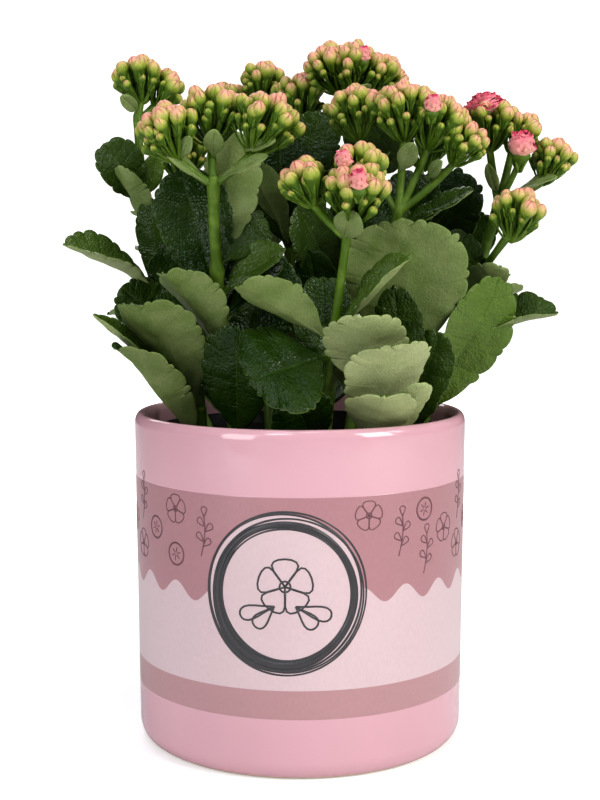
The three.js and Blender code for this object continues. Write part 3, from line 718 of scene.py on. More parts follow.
# ---------- finishes ----------
def pot_finish(pot):
    """Pink glaze with bands of print under it, and a bare clay foot."""
    work = Finish("pink_glaze_and_print", Specular_IOR_Level=0.5)
    place = work.object_place()
    x, y, z = work.split(place)
    turn = work.maths("ARCTAN2", x, work.product(y, -1.0))
    arc = work.product(turn, POT_RADIUS)
    crisp = 0.00012

    def above(level):
        return work.ramp(work.less(z, level), -crisp, crisp)

    phase = work.product(arc, math.pi / pot.wave_length)
    wave = work.product(work.maths("SINE", work.product(phase, 2.0)), pot.wave_depth)
    sway = work.product(work.maths("SINE", work.product(phase, 0.4)), pot.wave_depth * 0.25)
    edge = work.sum_of(wave, sway, pot.band_edge)
    from_middle = work.distance(work.less(arc, pot.medallion_across), work.less(z, pot.medallion_height))
    disc = work.ramp(from_middle, pot.medallion_radius + crisp, pot.medallion_radius - crisp)
    wall_reach = POT_RADIUS - 0.003
    outer = work.ramp(work.distance(x, y), wall_reach - 0.0005, wall_reach)
    thread = work.first("ShaderNodeMapping", {"Vector": work.joined(arc, z, 0.0), "Scale": (900, 420, 1)})
    weave = work.grain(thread, 1.0, 2.0, 0.7)

    low = above(pot.stripe_bottom)
    colour = work.mixed(low, pot.glaze, pot.stripe)
    colour = work.mixed(above(pot.field_bottom), colour, pot.field)
    colour = work.mixed(above(edge), colour, pot.band)
    colour = work.mixed(disc, colour, pot.field)
    colour = work.shaded(colour, work.tuned(weave, 0.16, 0.92))
    printed = work.product(low, work.less(1.0, above(pot.band_top)), outer)
    colour = work.mixed(printed, pot.glaze, colour)
    cloudy = work.grain(place, 18.0, 3.0)
    colour = work.shaded(colour, work.tuned(cloudy, 0.10, 0.95))
    bare = work.ramp(z, 0.0016, 0.0010)
    colour = work.mixed(bare, colour, pot.clay)

    gloss = work.tuned(work.grain(place, 60.0, 2.0), 0.05, 0.05)
    satin = work.tuned(weave, 0.10, 0.27)
    rough = work.between(bare, work.between(printed, gloss, satin), 0.8)
    ripple = work.grain(place, 45.0, 1.0)
    relief = work.sum_of(ripple, work.product(printed, 0.15), work.product(weave, printed, 0.05))
    return work.done(colour, rough, relief, 0.00035)


def print_finish(name, colour):
    """Ink fired on the glaze, a little uneven in tone."""
    work = Finish(name, Specular_IOR_Level=0.5)
    place = work.object_place()
    tone = work.tuned(work.grain(place, 240.0, 3.0), 0.5, 0.75)
    return work.done(work.shaded(colour, tone), work.tuned(work.grain(place, 900.0), 0.2, 0.28))


def plastic_finish():
    work = Finish("nursery_pot_plastic", Specular_IOR_Level=0.4)
    place = work.object_place()
    speck = work.grain(place, 1400.0, 2.0)
    dark = work.tuned(work.grain(place, 60.0), 0.5, 0.75)
    return work.done(work.shaded(PLASTIC, dark), work.tuned(speck, 0.2, 0.42), speck, 0.0001, 0.6)


def soil_finish():
    work = Finish("damp_peat", Specular_IOR_Level=0.3)
    place = work.object_place()
    coarse = work.grain(place, 220.0, 4.0, 0.65)
    fine = work.grain(place, 1600.0, 3.0, 0.6)
    colour = work.mixed(work.ramp(coarse, 0.35, 0.7), PEAT_DARK, PEAT_BROWN)
    colour = work.mixed(work.ramp(fine, 0.66, 0.72), colour, PEAT_FIBRE)
    relief = work.sum_of(coarse, work.product(fine, 0.4))
    return work.done(colour, work.tuned(fine, 0.25, 0.7), relief, 0.0015)


def leaf_finish(plant):
    """Dark gloss above and pale bloom below, from the blade's own traits; the tone and the run along the
    under face add painted light and shade.
    """
    work = Finish("leaf_blade", Specular_IOR_Level=0.25)
    place = work.object_place()
    along, across, below = work.split(work.trait("blade"))
    tone, vein, _ = work.split(work.trait("growth_and_painted_light"))
    blotch = work.grain(place, 95.0, 3.0, 0.55)
    mottle = work.grain(place, 1100.0, 2.0, 0.6)
    cell = work.cells(place, 1000.0)

    # a young leaf's paler green; by a listed tone the same mix is painted light, and a painted sheen on one
    # leaf
    young = work.sum_of(work.product(tone, 0.9), work.product(blotch, 0.3), -0.1)
    top = work.mixed(young, plant.upper, YOUNG_AND_PAINTED_LIT_LEAF)
    top = work.shaded(top, work.tuned(mottle, 0.6, 0.7))
    rib = work.ramp(across, 0.045, 0.0)
    top = work.mixed(work.product(rib, 0.1), top, LEAF_RIB)
    bottom = work.mixed(work.ramp(blotch, 0.3, 0.75), plant.under, LEAF_UNDER_BLOTCH)
    # the tone pales the under face and makes it lighter or darker: partly its own paleness, partly painted
    # light and shade
    bottom = work.mixed(work.product(tone, 0.55), bottom, LEAF_BLOOM_AND_PAINTED_LIGHT)
    bottom = work.shaded(bottom, work.tuned(mottle, 0.4, 0.8))
    bottom = work.shaded(bottom, work.tuned(tone, 0.42, 0.8))
    # painted shade: the under face is darker towards its foot and lighter towards its tip
    bottom = work.shaded(bottom, work.tuned(along, 0.34, 0.72))
    fleck = work.ramp(work.grain(place, 2600.0, 1.0, 0.5), 0.35, 0.65)
    bottom = work.shaded(bottom, work.tuned(fleck, 0.22, 0.89))
    strand = work.ramp(vein, 0.10, 0.0)
    bottom = work.mixed(work.product(strand, 0.15), bottom, LEAF_STRAND)
    flank = work.ramp(below, 0.45, 0.55)
    colour = work.mixed(flank, top, bottom)
    rim = work.ramp(across, 0.975, 1.0)
    colour = work.mixed(work.product(rim, 0.4), colour, LEAF_RIM)
    foot = work.ramp(along, 0.16, 0.04)
    colour = work.mixed(work.product(foot, 0.6), colour, plant.stem)

    shine = work.sum_of(work.product(mottle, 0.1), work.product(blotch, 0.12), 0.11)
    rough = work.between(flank, shine, work.tuned(mottle, 0.2, 0.48))
    sunk = work.product(work.ramp(vein, 0.0, 0.16), 0.12)
    calm = work.tuned(flank, -0.55, 1.0)
    pucker = work.product(work.grain(place, 230.0), work.tuned(flank, -0.9, 1.0))
    fine = work.product(work.sum_of(work.product(cell, 0.35), work.product(mottle, 0.3)), calm)
    relief = work.sum_of(fine, work.product(sunk, calm), work.product(pucker, 1.25))
    return work.done(colour, rough, relief, 0.0009, 0.8)


def stem_finish(plant):
    work = Finish("stem_skin", Specular_IOR_Level=0.33)
    place = work.object_place()
    rise = work.split(work.trait("rise"))[0]
    stretched = work.first("ShaderNodeMapping", {"Vector": place, "Scale": (900, 900, 60)})
    streak = work.grain(stretched, 1.0, 3.0, 0.6)
    blotch = work.grain(place, 160.0, 3.0)
    rise = work.maths("MINIMUM", rise, 1.0)
    colour = work.mixed(work.ramp(rise, 0.1, 0.9), STEM_FOOT, plant.stem)
    colour = work.mixed(work.ramp(blotch, 0.45, 0.8), colour, STEM_BLOTCH)
    colour = work.shaded(colour, work.tuned(streak, 0.4, 0.8))
    return work.done(colour, work.tuned(blotch, 0.2, 0.36), streak, 0.0003, 0.5)


def bud_finish(plant):
    """Green at the foot, then straw and dull peach at the tip, with rosy petal edges."""
    work = Finish("bud_skin", Specular_IOR_Level=0.35)
    place = work.object_place()
    height, seam, sepal = work.split(work.trait("bud"))
    ripe = work.split(work.trait("ripe"))[0]
    blotch = work.grain(place, 420.0, 3.0, 0.6)
    level = work.sum_of(height, work.product(ripe, 0.3), work.product(blotch, 0.2), -0.36)
    colour = work.mixed(work.ramp(level, 0.42, 0.66), plant.bud_green, BUD_LIME)
    colour = work.mixed(work.ramp(level, 0.6, 0.8), colour, BUD_STRAW)
    colour = work.mixed(work.ramp(level, 0.74, 0.95), colour, plant.bud_tip)
    flush = work.product(work.ramp(seam, 0.2, 0.0), work.ramp(level, 0.6, 0.85), 0.75)
    colour = work.mixed(flush, colour, BUD_SEAM)
    groove = work.product(work.ramp(seam, 0.16, 0.0), work.ramp(level, 0.7, 0.4), 0.6)
    colour = work.mixed(groove, colour, BUD_GROOVE)
    colour = work.mixed(sepal, colour, SEPAL)
    colour = work.shaded(colour, work.tuned(blotch, 0.4, 0.8))
    relief = work.sum_of(work.ramp(seam, 0.0, 0.2), work.product(blotch, 0.5))
    return work.done(colour, work.tuned(blotch, 0.2, 0.4), relief, 0.0006, 0.9)


def petal_finish(plant):
    """Rose inside, pale outside, with a deep edge towards the tip."""
    work = Finish("petal_skin", Specular_IOR_Level=0.3, Sheen_Weight=0.2)
    place = work.object_place()
    along, across, outside = work.split(work.trait("blade"))
    streak = work.grain(place, 700.0, 3.0, 0.6)
    inner = work.mixed(work.ramp(along, 0.2, 0.9), PETAL_FOOT, plant.petal)
    back = work.mixed(work.ramp(along, 0.1, 0.4), PETAL_BACK_FOOT, PETAL_BACK)
    back = work.mixed(work.ramp(along, 0.5, 0.9), back, PETAL_BACK_TIP)
    colour = work.mixed(work.ramp(outside, 0.45, 0.55), inner, back)
    edge = work.ramp(work.maths("MAXIMUM", across, along), 0.86, 1.0)
    high = work.ramp(along, 0.74, 0.98)
    colour = work.mixed(work.product(edge, high, 0.9), colour, PETAL_EDGE)
    colour = work.shaded(colour, work.tuned(streak, 0.3, 0.85))
    return work.done(colour, work.tuned(streak, 0.2, 0.45), streak, 0.0002, 0.5)


def floor_finish():
    """White card that glows a little, so that it runs into the white behind it."""
    work = Finish("white_card", Specular_IOR_Level=0.1, Emission_Color=(1, 1, 1, 1))
    place = work.object_place()
    away = work.add("ShaderNodeVectorMath", {0: place}, operation="LENGTH").outputs["Value"]
    glow = work.product(work.seen_by_camera(), work.ramp(away, 0.12, 0.9, 0.35, 0.95))
    work.feed(work.shader.inputs["Emission Strength"], glow)
    cloud = work.tuned(work.grain(place, 3.0), 0.02, 0.98)
    return work.done(work.shaded(CARD, cloud), 0.9)


FINISHES = {}


def finish_of(name, make, *settings):
    """Each finish is made once."""
    if name not in FINISHES:
        FINISHES[name] = make(*settings)
    return FINISHES[name]


# ---------- turned pieces ----------
def arc_points(centre, radii, start, end, count):
    """Points on a quarter or half round, angles in degrees, from the X axis."""
    points = []
    for i in range(count + 1):
        angle = math.radians(start + (end - start) * i / count)
        points.append((centre[0] + radii[0] * math.cos(angle), centre[1] + radii[1] * math.sin(angle)))
    return points


def profile_mesh(name, points):
    """A turned piece's half section as a line of points: distance from the axis, height."""
    body = Body()
    for distance, height in points:
        body.point((distance, 0, height))
    body.edges = [(i, i + 1) for i in range(len(points) - 1)]
    return body.mesh(name)


def turning_tree():
    """Turns a half section about the Z axis: each point becomes a ring."""
    rule = Rule("turned_about_axis", ("Sides", "Int", 160))
    section = rule.entry["Geometry"]
    rows = rule.first("GeometryNodeAttributeDomainSize", {0: section}, component="MESH")
    columns = rule.sum_of(rule.entry["Sides"], 1)
    size = {"Size X": 1.0, "Size Y": 1.0, "Vertices X": columns, "Vertices Y": rows}
    grid = rule.first("GeometryNodeMeshGrid", size)
    where = rule.split(rule.position())
    angle = rule.product(rule.sum_of(where[0], 0.5), TAU)
    row = rule.product(rule.sum_of(where[1], 0.5), rule.less(rows, 1))
    source = {0: section, 1: rule.position(), 2: rule.maths("ROUND", row)}
    found = rule.first("GeometryNodeSampleIndex", source, data_type=VECTOR, domain="POINT")
    radius, _, height = rule.split(found)
    x = rule.product(radius, rule.maths("COSINE", angle))
    y = rule.product(radius, rule.maths("SINE", angle))
    shaped = rule.moved(grid, rule.joined(x, y, height))
    seam = {"Geometry": shaped, "Distance": 0.000005}
    return rule.closed(rule.first("GeometryNodeMergeByDistance", seam))


def turned_piece(name, points, sides, finish):
    tree = bpy.data.node_groups.get("turned_about_axis") or turning_tree()
    return grown(name, profile_mesh(name, points), tree, {"Sides": sides, "Finish": finish})


class KALANCHOE_OT_cover_pot(bpy.types.Operator):
    """Turn the glazed cover pot"""

    bl_idname = "kalanchoe.cover_pot"
    bl_label = "Cover pot"

    def execute(self, context):
        pot = context.scene.cover_pot
        shoulder = POT_HIGH.z - POT_LIP[1]
        foot = POT_FOOT_RADIUS - POT_CORNER[0]
        floor = 0.006
        bend = (0.005, 0.005)
        inner = POT_RADIUS - 2 * POT_LIP[0] - 0.001
        outline = [(0, 0), (foot, 0)]
        outline += arc_points((foot, POT_CORNER[1]), POT_CORNER, -80, 0, 9)
        for share in (0.25, 0.5, 0.75):
            across = POT_FOOT_RADIUS + (POT_RADIUS - POT_FOOT_RADIUS) * share
            outline.append((across, POT_CORNER[1] + (shoulder - POT_CORNER[1]) * share))
        outline += arc_points((POT_RADIUS - POT_LIP[0], shoulder), POT_LIP, 0, 180, 16)
        outline += arc_points((inner - bend[0], floor + bend[1]), bend, 0, -90, 6)
        outline += [(0, floor)]
        piece = turned_piece("cover_pot", outline, pot.sides, finish_of("pot", pot_finish, pot))
        settled(piece, "pot_glaze", "ceramic_pot")
        return {"FINISHED"}


class KALANCHOE_OT_nursery_pot(bpy.types.Operator):
    """Turn the thin plastic pot that the plant was grown in"""

    bl_idname = "kalanchoe.nursery_pot"
    bl_label = "Nursery pot"

    def execute(self, context):
        rim = LINER_HIGH.x
        top = LINER_HIGH.z
        base = LINER_LOW.z
        foot = 0.046
        skin = 0.0012
        shoulder = rim - 0.003
        collar = top - 0.005
        outline = [(0, base), (foot - 0.001, base), (foot, base + 0.001), (shoulder, collar)]
        outline += arc_points((rim - 0.001, collar + 0.001), (0.001, 0.001), -90, 0, 4)
        outline += arc_points((rim - 0.0003, top - 0.0006), (0.0006, 0.0006), 0, 180, 6)
        outline += [(rim - 0.0022, collar - 0.001), (foot - skin, base + skin), (0, base + skin)]
        piece = turned_piece("nursery_pot", outline, 120, finish_of("plastic", plastic_finish))
        settled(piece, "grow_pot_plastic", "grow_pot")
        return {"FINISHED"}


# ---------- the print on the wall: (along the wall from the front, height), in millimetres ----------
INK_DEPTH = 0.07
# the medallion's hand-drawn rings: offset along, offset up, radius, half the line's width, how much it swells
RING_STROKES = (
    (0.2, 0.2, 31.0, 0.34, 0.2),
    (-0.7, 0.5, 29.9, 0.42, 0.5),
    (0.9, -0.5, 29.2, 0.36, 0.0),
    (-0.5, -0.5, 26.9, 1.35, 0.35),
    (0.6, 0.5, 26.0, 0.55, 0.5),
    (0.1, -0.2, 25.0, 0.34, 0.2),
)
RING_SWELL_AT = math.radians(215)
MOTIF_COLUMNS = 32
MOTIF_ROWS = ((101.5, 84.0), (92.5,))
MOTIF_LINE = 0.22
MEDALLION_LINE = 0.36
MEDALLION_ROOM = 36


def add_stroke(body, points, half_widths, closed=False):
    """A flat pen stroke in the plane of the print, as a thin closed band."""
    count = len(points)
    corners = []
    for i, (x, z) in enumerate(points):
        before = points[i - 1] if i or closed else points[i]
        after = points[(i + 1) % count] if i < count - 1 or closed else points[i]
        dx, dz = after[0] - before[0], after[1] - before[1]
        size = math.hypot(dx, dz)
        nx, nz = -dz / size * half_widths[i], dx / size * half_widths[i]
        ring = ((1, 0), (-1, 0), (-1, 1), (1, 1))
        corners.append([body.point((x + side * nx, depth, z + side * nz)) for side, depth in ring])
    for i in range(count if closed else count - 1):
        here, there = corners[i], corners[(i + 1) % count]
        for k in range(4):
            body.faces.append((here[k], here[(k + 1) % 4], there[(k + 1) % 4], there[k]))
    if not closed:
        body.faces.append(tuple(reversed(corners[0])))
        body.faces.append(tuple(corners[-1]))


def polar(centre, radius, angle):
    return centre[0] + radius * math.cos(angle), centre[1] + radius * math.sin(angle)


def circle_points(centre, radius, count):
    return [polar(centre, radius, TAU * i / count) for i in range(count)]


def petal_outline(centre, angle, reach, width, steps=12):
    """A drop shape that starts and ends near the centre."""
    points = []
    for i in range(steps + 1):
        t = i / steps
        foot = polar(centre, reach * math.sin(math.pi * t) ** 0.8, angle)
        points.append(polar(foot, -0.5 * width * math.sin(TAU * t), angle + math.pi / 2))
    return points


def even_stroke(body, points, line, closed=False):
    add_stroke(body, points, [line] * len(points), closed)


def blossom_motif(body, centre=(0, 0), size=5.6, line=MOTIF_LINE):
    """Five petals round a small ring."""
    for petal in range(5):
        even_stroke(body, petal_outline(centre, math.radians(90 + 72 * petal), size, size * 0.95), line)
    even_stroke(body, circle_points(centre, size * 0.2, 12), line, True)


def sprig_motif(body, centre=(0, 0), size=10.6, line=MOTIF_LINE):
    """A bent stalk with paired leaves and a bud on top."""
    stalk = []
    for i in range(9):
        t = i / 8
        stalk.append((centre[0] + size * 0.18 * math.sin(2.2 * t), centre[1] + size * (2 * t - 1) * 0.72))
    even_stroke(body, stalk, line)
    for i, side in ((2, 1), (3, -1), (5, 1), (6, -1)):
        angle = math.radians(90 - side * 48)
        even_stroke(body, petal_outline(stalk[i], angle, size * 0.42, size * 0.24, 8), line)
    even_stroke(body, petal_outline(stalk[-1], math.pi / 2, size * 0.36, size * 0.26, 8), line)


def star_motif(body, centre=(0, 0), size=4.3, line=MOTIF_LINE):
    """A bold ring with a small star of strokes in it."""
    even_stroke(body, circle_points(centre, size, 28), line * 1.7, True)
    for arm in range(6):
        angle = TAU * arm / 6 + 0.3
        even_stroke(body, [polar(centre, size * share, angle) for share in (0.15, 0.38, 0.6)], line * 0.9)


MOTIFS = (blossom_motif, star_motif, sprig_motif)


def wall_tree():
    """Lays flat work on the pot's wall: X runs round from the front, Y is the ink's depth, Z the height."""
    rule = Rule(
        "print_on_wall",
        ("Motifs", "Collection", None),
        ("Foot radius", "Float", POT_FOOT_RADIUS),
        ("Rim radius", "Float", POT_RADIUS),
        ("Foot height", "Float", POT_CORNER[1]),
        ("Rim height", "Float", POT_HIGH.z - POT_LIP[1]),
    )
    flat = rule.entry["Geometry"]
    kind = rule.named("kind")
    is_place = rule.maths("GREATER_THAN", kind, -0.5)
    choice = {"Instance": rule.shapes_in(rule.entry["Motifs"]), "Pick Instance": True}
    choice["Instance Index"] = rule.maths("ROUND", kind)
    motifs = rule.first("GeometryNodeInstanceOnPoints", {"Points": flat, "Selection": is_place, **choice})
    places = {"Geometry": flat, "Selection": is_place}
    strokes = rule.first("GeometryNodeDeleteGeometry", places, domain="POINT")
    drawn = rule.together(strokes, rule.real(motifs))
    x, depth, z = rule.split(rule.position())
    foot, rim = ((rule.entry[f"{end} height"], rule.entry[f"{end} radius"]) for end in ("Foot", "Rim"))
    wall = rule.ramp(z, foot[0], rim[0], foot[1], rim[1], "LINEAR")
    angle = rule.maths("DIVIDE", x, rim[1])
    reach = rule.tuned(depth, 2 * INK_DEPTH, rule.less(wall, INK_DEPTH * MM))
    right = rule.product(reach, rule.maths("SINE", angle))
    back = rule.product(reach, rule.maths("COSINE", angle), -1.0)
    return rule.closed(rule.moved(drawn, rule.joined(right, back, z)))


class FlatWork(Body):
    """Print drawn flat in millimetres. A stroke's points carry kind -1, a motif's place carries its kind."""

    def __init__(self):
        super().__init__("kind")

    def point(self, place, kind=-1.0):
        return super().point(Vector(place) * MM, kind=kind)


class KALANCHOE_OT_wall_print(bpy.types.Operator):
    """Print the drawn rings, their flower and the scattered motifs on the pot"""

    bl_idname = "kalanchoe.wall_print"
    bl_label = "Wall print"

    def execute(self, context):
        pot = context.scene.cover_pot
        middle = (pot.medallion_across / MM, pot.medallion_height / MM)
        drawings = []
        for order, draw in enumerate(MOTIFS):
            body = FlatWork()
            draw(body)
            drawings.append(bpy.data.objects.new(f"motif_{order}", body.mesh(f"motif_{order}")))
        shapes = shape_group("motifs", drawings)
        tree = wall_tree()

        rings = FlatWork()
        steps = 160
        for across, up, radius, half, swell in RING_STROKES:
            widths = []
            for i in range(steps):
                angle = TAU * i / steps
                heavy = max(0.0, math.cos(angle - RING_SWELL_AT)) ** 1.5
                widths.append(half * (1 + swell * heavy + 0.12 * math.sin(5 * angle + radius)))
            centre = (middle[0] + across, middle[1] + up)
            add_stroke(rings, circle_points(centre, radius, steps), widths, True)

        flower = FlatWork()
        blossom_motif(flower, (middle[0], middle[1] + 3.0), 10.5, MEDALLION_LINE)
        for side in (-1, 1):
            foot = (middle[0] + side * 4.0, middle[1] - 4.5)
            for angle, reach in ((196, 14.0), (226, 11.0)):
                turn = math.radians(angle if side < 0 else 540 - angle)
                even_stroke(flower, petal_outline(foot, turn, reach, 5.5, 14), MEDALLION_LINE)

        scatter = FlatWork()
        pitch = TAU * POT_RADIUS / MM / MOTIF_COLUMNS
        for column in range(MOTIF_COLUMNS):
            x = (column - MOTIF_COLUMNS / 2) * pitch
            for row, z in enumerate(MOTIF_ROWS[column % 2]):
                if math.dist((x, z), middle) > MEDALLION_ROOM:
                    scatter.point((x, 0, z), float((column // 2 + row + column % 2 * 2) % len(MOTIFS)))

        ink = print_finish("ring_ink", pot.ink)
        thin_ink = print_finish("motif_ink", pot.outline)
        prints = (("medallion_rings", rings, ink), ("medallion_flower", flower, ink))
        for name, body, finish in (*prints, ("scattered_motifs", scatter, thin_ink)):
            values = {"Motifs": shapes, "Finish": finish}
            settled(grown(name, body.mesh(name), tree, values), "pot_glaze")
        put_away(shapes)
        return {"FINISHED"}


# ---------- soil ----------
def crumb_shape(number):
    """One angular crumb of peat, about 1 across."""
    build = bmesh.new()
    bmesh.ops.create_icosphere(build, subdivisions=1, radius=1.0)
    for vertex in build.verts:
        offset = noise.noise(vertex.co * 1.3 + Vector((number * 7.0, 0, 0)))
        vertex.co *= 1 + 0.6 * offset
        vertex.co.z *= 0.7
    mesh = bpy.data.meshes.new(f"crumb_{number}")
    build.to_mesh(mesh)
    build.free()
    return bpy.data.objects.new(f"crumb_{number}", mesh)


def crumb_tree():
    """Scatters crumbs on the upward faces of the soil."""
    rule = Rule(
        "peat_surface",
        ("Crumbs", "Collection", None),
        ("Per square metre", "Float", 90000.0),
        ("Smallest", "Float", 0.0006),
        ("Largest", "Float", 0.0022),
        ("Clear of", "Float", 0.0505),
        ("Seed", "Int", 4),
    )
    peat, seed = rule.entry["Geometry"], rule.entry["Seed"]
    normal = rule.split(rule.first("GeometryNodeInputNormal"))
    x, y, _ = rule.split(rule.position())
    upward = rule.maths("GREATER_THAN", normal[2], 0.5)
    inside = rule.maths("LESS_THAN", rule.distance(x, y), rule.entry["Clear of"])
    where = {"Mesh": peat, "Selection": rule.product(upward, inside), "Seed": seed}
    where["Density"] = rule.entry["Per square metre"]
    points = rule.first("GeometryNodeDistributePointsOnFaces", where)
    size = rule.chance(rule.entry["Smallest"], rule.entry["Largest"], seed)
    span = {0: (0, 0, 0), 1: (TAU, TAU, TAU), "Seed": 9}
    spin = rule.first("FunctionNodeRandomValue", span, data_type=VECTOR)
    turned = rule.first("FunctionNodeEulerToRotation", {0: spin})
    stand = {"Rotation": turned, "Scale": rule.joined(size, size, size)}
    choice = {"Instance": rule.shapes_in(rule.entry["Crumbs"]), "Pick Instance": True}
    crumbs = rule.first("GeometryNodeInstanceOnPoints", {"Points": points, **choice, **stand})
    return rule.closed(rule.together(peat, crumbs))


class KALANCHOE_OT_soil(bpy.types.Operator):
    """Fill the nursery pot with peat"""

    bl_idname = "kalanchoe.soil"
    bl_label = "Soil"

    def execute(self, context):
        level, edge = SOIL_HIGH.z, SOIL_HIGH.x
        foot_radius = 0.0438
        rings, around = 30, 96
        lump_height, lumps_per_metre = 0.0009, 160
        body = Body()
        middle = body.point((0, 0, level))
        loops = []
        for ring in range(1, rings + 1):
            loop = []
            sunk = 0.0008 + 0.0012 * smooth_step(0.9, 1.0, ring / rings)
            for step in range(around):
                x, y = polar((0, 0), edge * ring / rings, TAU * step / around)
                lump = noise.fractal(Vector((x, y, 0.3)) * lumps_per_metre, 0.8, 2.1, 3) * lump_height
                loop.append(body.point((x, y, level + lump - sunk)))
            loops.append(loop)
        bottom = [body.point((x, y, SOIL_LOW.z)) for x, y in circle_points((0, 0), foot_radius, around)]
        loops.append(bottom)
        root = body.point((0, 0, SOIL_LOW.z))
        for step in range(around):
            after = (step + 1) % around
            body.faces.append((middle, loops[0][step], loops[0][after]))
            body.faces.append((root, bottom[after], bottom[step]))
            for inner, outer in zip(loops, loops[1:]):
                body.faces.append((inner[step], outer[step], outer[after], inner[after]))
        shapes = shape_group("peat_crumbs", [crumb_shape(number) for number in range(4)])
        values = {"Crumbs": shapes, "Finish": finish_of("soil", soil_finish)}
        piece = grown("potting_soil", body.mesh("potting_soil"), crumb_tree(), values)
        put_away(shapes)
        settled(piece, "potting_soil", "soil")
        return {"FINISHED"}


# ---------- leaves ----------
# a shorter leaf is plain: it has no scallops and a thinner stalk
PLAIN_BELOW = 20
PETIOLE_SHARE = 0.12
PETIOLE_HALF_WIDTH = 1.9
BRACT_HALF_WIDTH = 1.0
BRACT_THINNESS = 0.6
# the share of the whole edge, at each end, that has no scallops
PLAIN_SHARE = 0.17
# the greatest value of the curve that Margin draws, which makes its widest place the leaf's width
BELLY = 0.62**0.8 * math.sqrt(0.38)
LOBE_PHASES = (0.0, 0.05, 0.18, 0.4, 0.62, 0.82, 0.94)
# the run of one scallop along the edge: a base, and a share of the edge's run
LOBE_RUN = 3.6
LOBE_GAIN = 0.032
# the greatest depth of a scallop, as a share of its run
DEEPEST_SCALLOP = 0.24
# how far to each side of a place the edge's direction is measured
EDGE_PROBE = 0.4
# the half width of the rounded fold along the midrib
KEEL = 3
# the places of a blade's columns, as shares of the way from its midrib to its edge
COLUMNS = (0.0, 0.05, 0.12, 0.24, 0.4, 0.56, 0.72, 0.85, 0.94, 0.985, 1.0)


def lobes_for(length, run):
    """How many rounded teeth fit round a leaf, always one at the tip."""
    if length < PLAIN_BELOW:
        return 0
    return 2 * int(run / (LOBE_RUN + LOBE_GAIN * run) / 2) + 1


class Margin:
    """One side of a blade's edge, from the stalk to the tip, by its run along the edge."""

    def __init__(self, length, width):
        narrowest = PETIOLE_HALF_WIDTH if length > PLAIN_BELOW else BRACT_HALF_WIDTH
        self.points = [(0.0, narrowest)]
        steps = 60
        for i in range(steps + 1):
            s = i / steps
            across = width / 2 * (s**0.8 * math.sqrt(1 - s)) / BELLY
            if length < PLAIN_BELOW:
                across = width / 2 * (4 * s * (1 - s)) ** 0.6
            if s < 0.5:
                across = max(across, narrowest)
            self.points.append((length * (PETIOLE_SHARE + (1 - PETIOLE_SHARE) * s), across))
        self.runs = [0.0]
        for before, after in zip(self.points, self.points[1:]):
            self.runs.append(self.runs[-1] + math.dist(before, after))
        self.total = self.runs[-1]

    def at(self, run):
        if run > self.total:
            x, y = self.at(2 * self.total - run)
            return x, -y
        run = max(run, 0.0)
        i = 1
        while i < len(self.runs) - 1 and self.runs[i] < run:
            i += 1
        share = (run - self.runs[i - 1]) / max(self.runs[i] - self.runs[i - 1], 1e-9)
        before, after = self.points[i - 1], self.points[i]
        return before[0] + (after[0] - before[0]) * share, before[1] + (after[1] - before[1]) * share


class Blade:
    """The bent middle surface of a leaf: flat places go onto it with place()."""

    def __init__(self, leaf, base):
        if "tip" in leaf:
            chord = Vector(leaf["tip"]) - base
        else:
            chord = heading_of(leaf["heading"], leaf["slope"], leaf["length"])
        span = chord.length
        along = chord.normalized()
        self.arch = math.radians(leaf["arch"])
        half = self.arch / 2
        self.length = span * half / math.sin(half)
        face = Vector(leaf["face"]) if "face" in leaf else heading_of(leaf["heading"], leaf["slope"] + 90, 1)
        face = (face - along * face.dot(along)).normalized()
        self.start = along * math.cos(half) + face * math.sin(half)
        self.up = face * math.cos(half) - along * math.sin(half)
        self.across = self.up.cross(self.start)
        self.cup = math.radians(leaf["cup"])
        self.wave = leaf["wave"]
        self.width = leaf["width"]
        self.base = base

    def place(self, x, y, lift):
        s = x / self.length
        angle = self.arch * s
        bow = self.length / self.arch
        normal = self.up * math.cos(angle) + self.start * math.sin(angle)
        fold = (math.hypot(y, KEEL) - KEEL) * math.sin(self.cup)
        ripple = self.wave * math.sin(s * 19) * abs(y) / self.width
        return (
            self.base
            + self.start * (bow * math.sin(angle))
            - self.up * (bow * (1 - math.cos(angle)))
            + self.across * (y * math.cos(self.cup))
            + normal * (fold + ripple + lift)
        )


def heading_of(heading, slope, length):
    h, s = math.radians(heading), math.radians(slope)
    return Vector((math.cos(h) * math.cos(s), math.sin(h) * math.cos(s), math.sin(s))) * length


def scallop_slip(i, number):
    """How far the notch before a scallop lies from its even place, in scallops."""
    return 0.28 * math.sin(i * 2.9 + number)


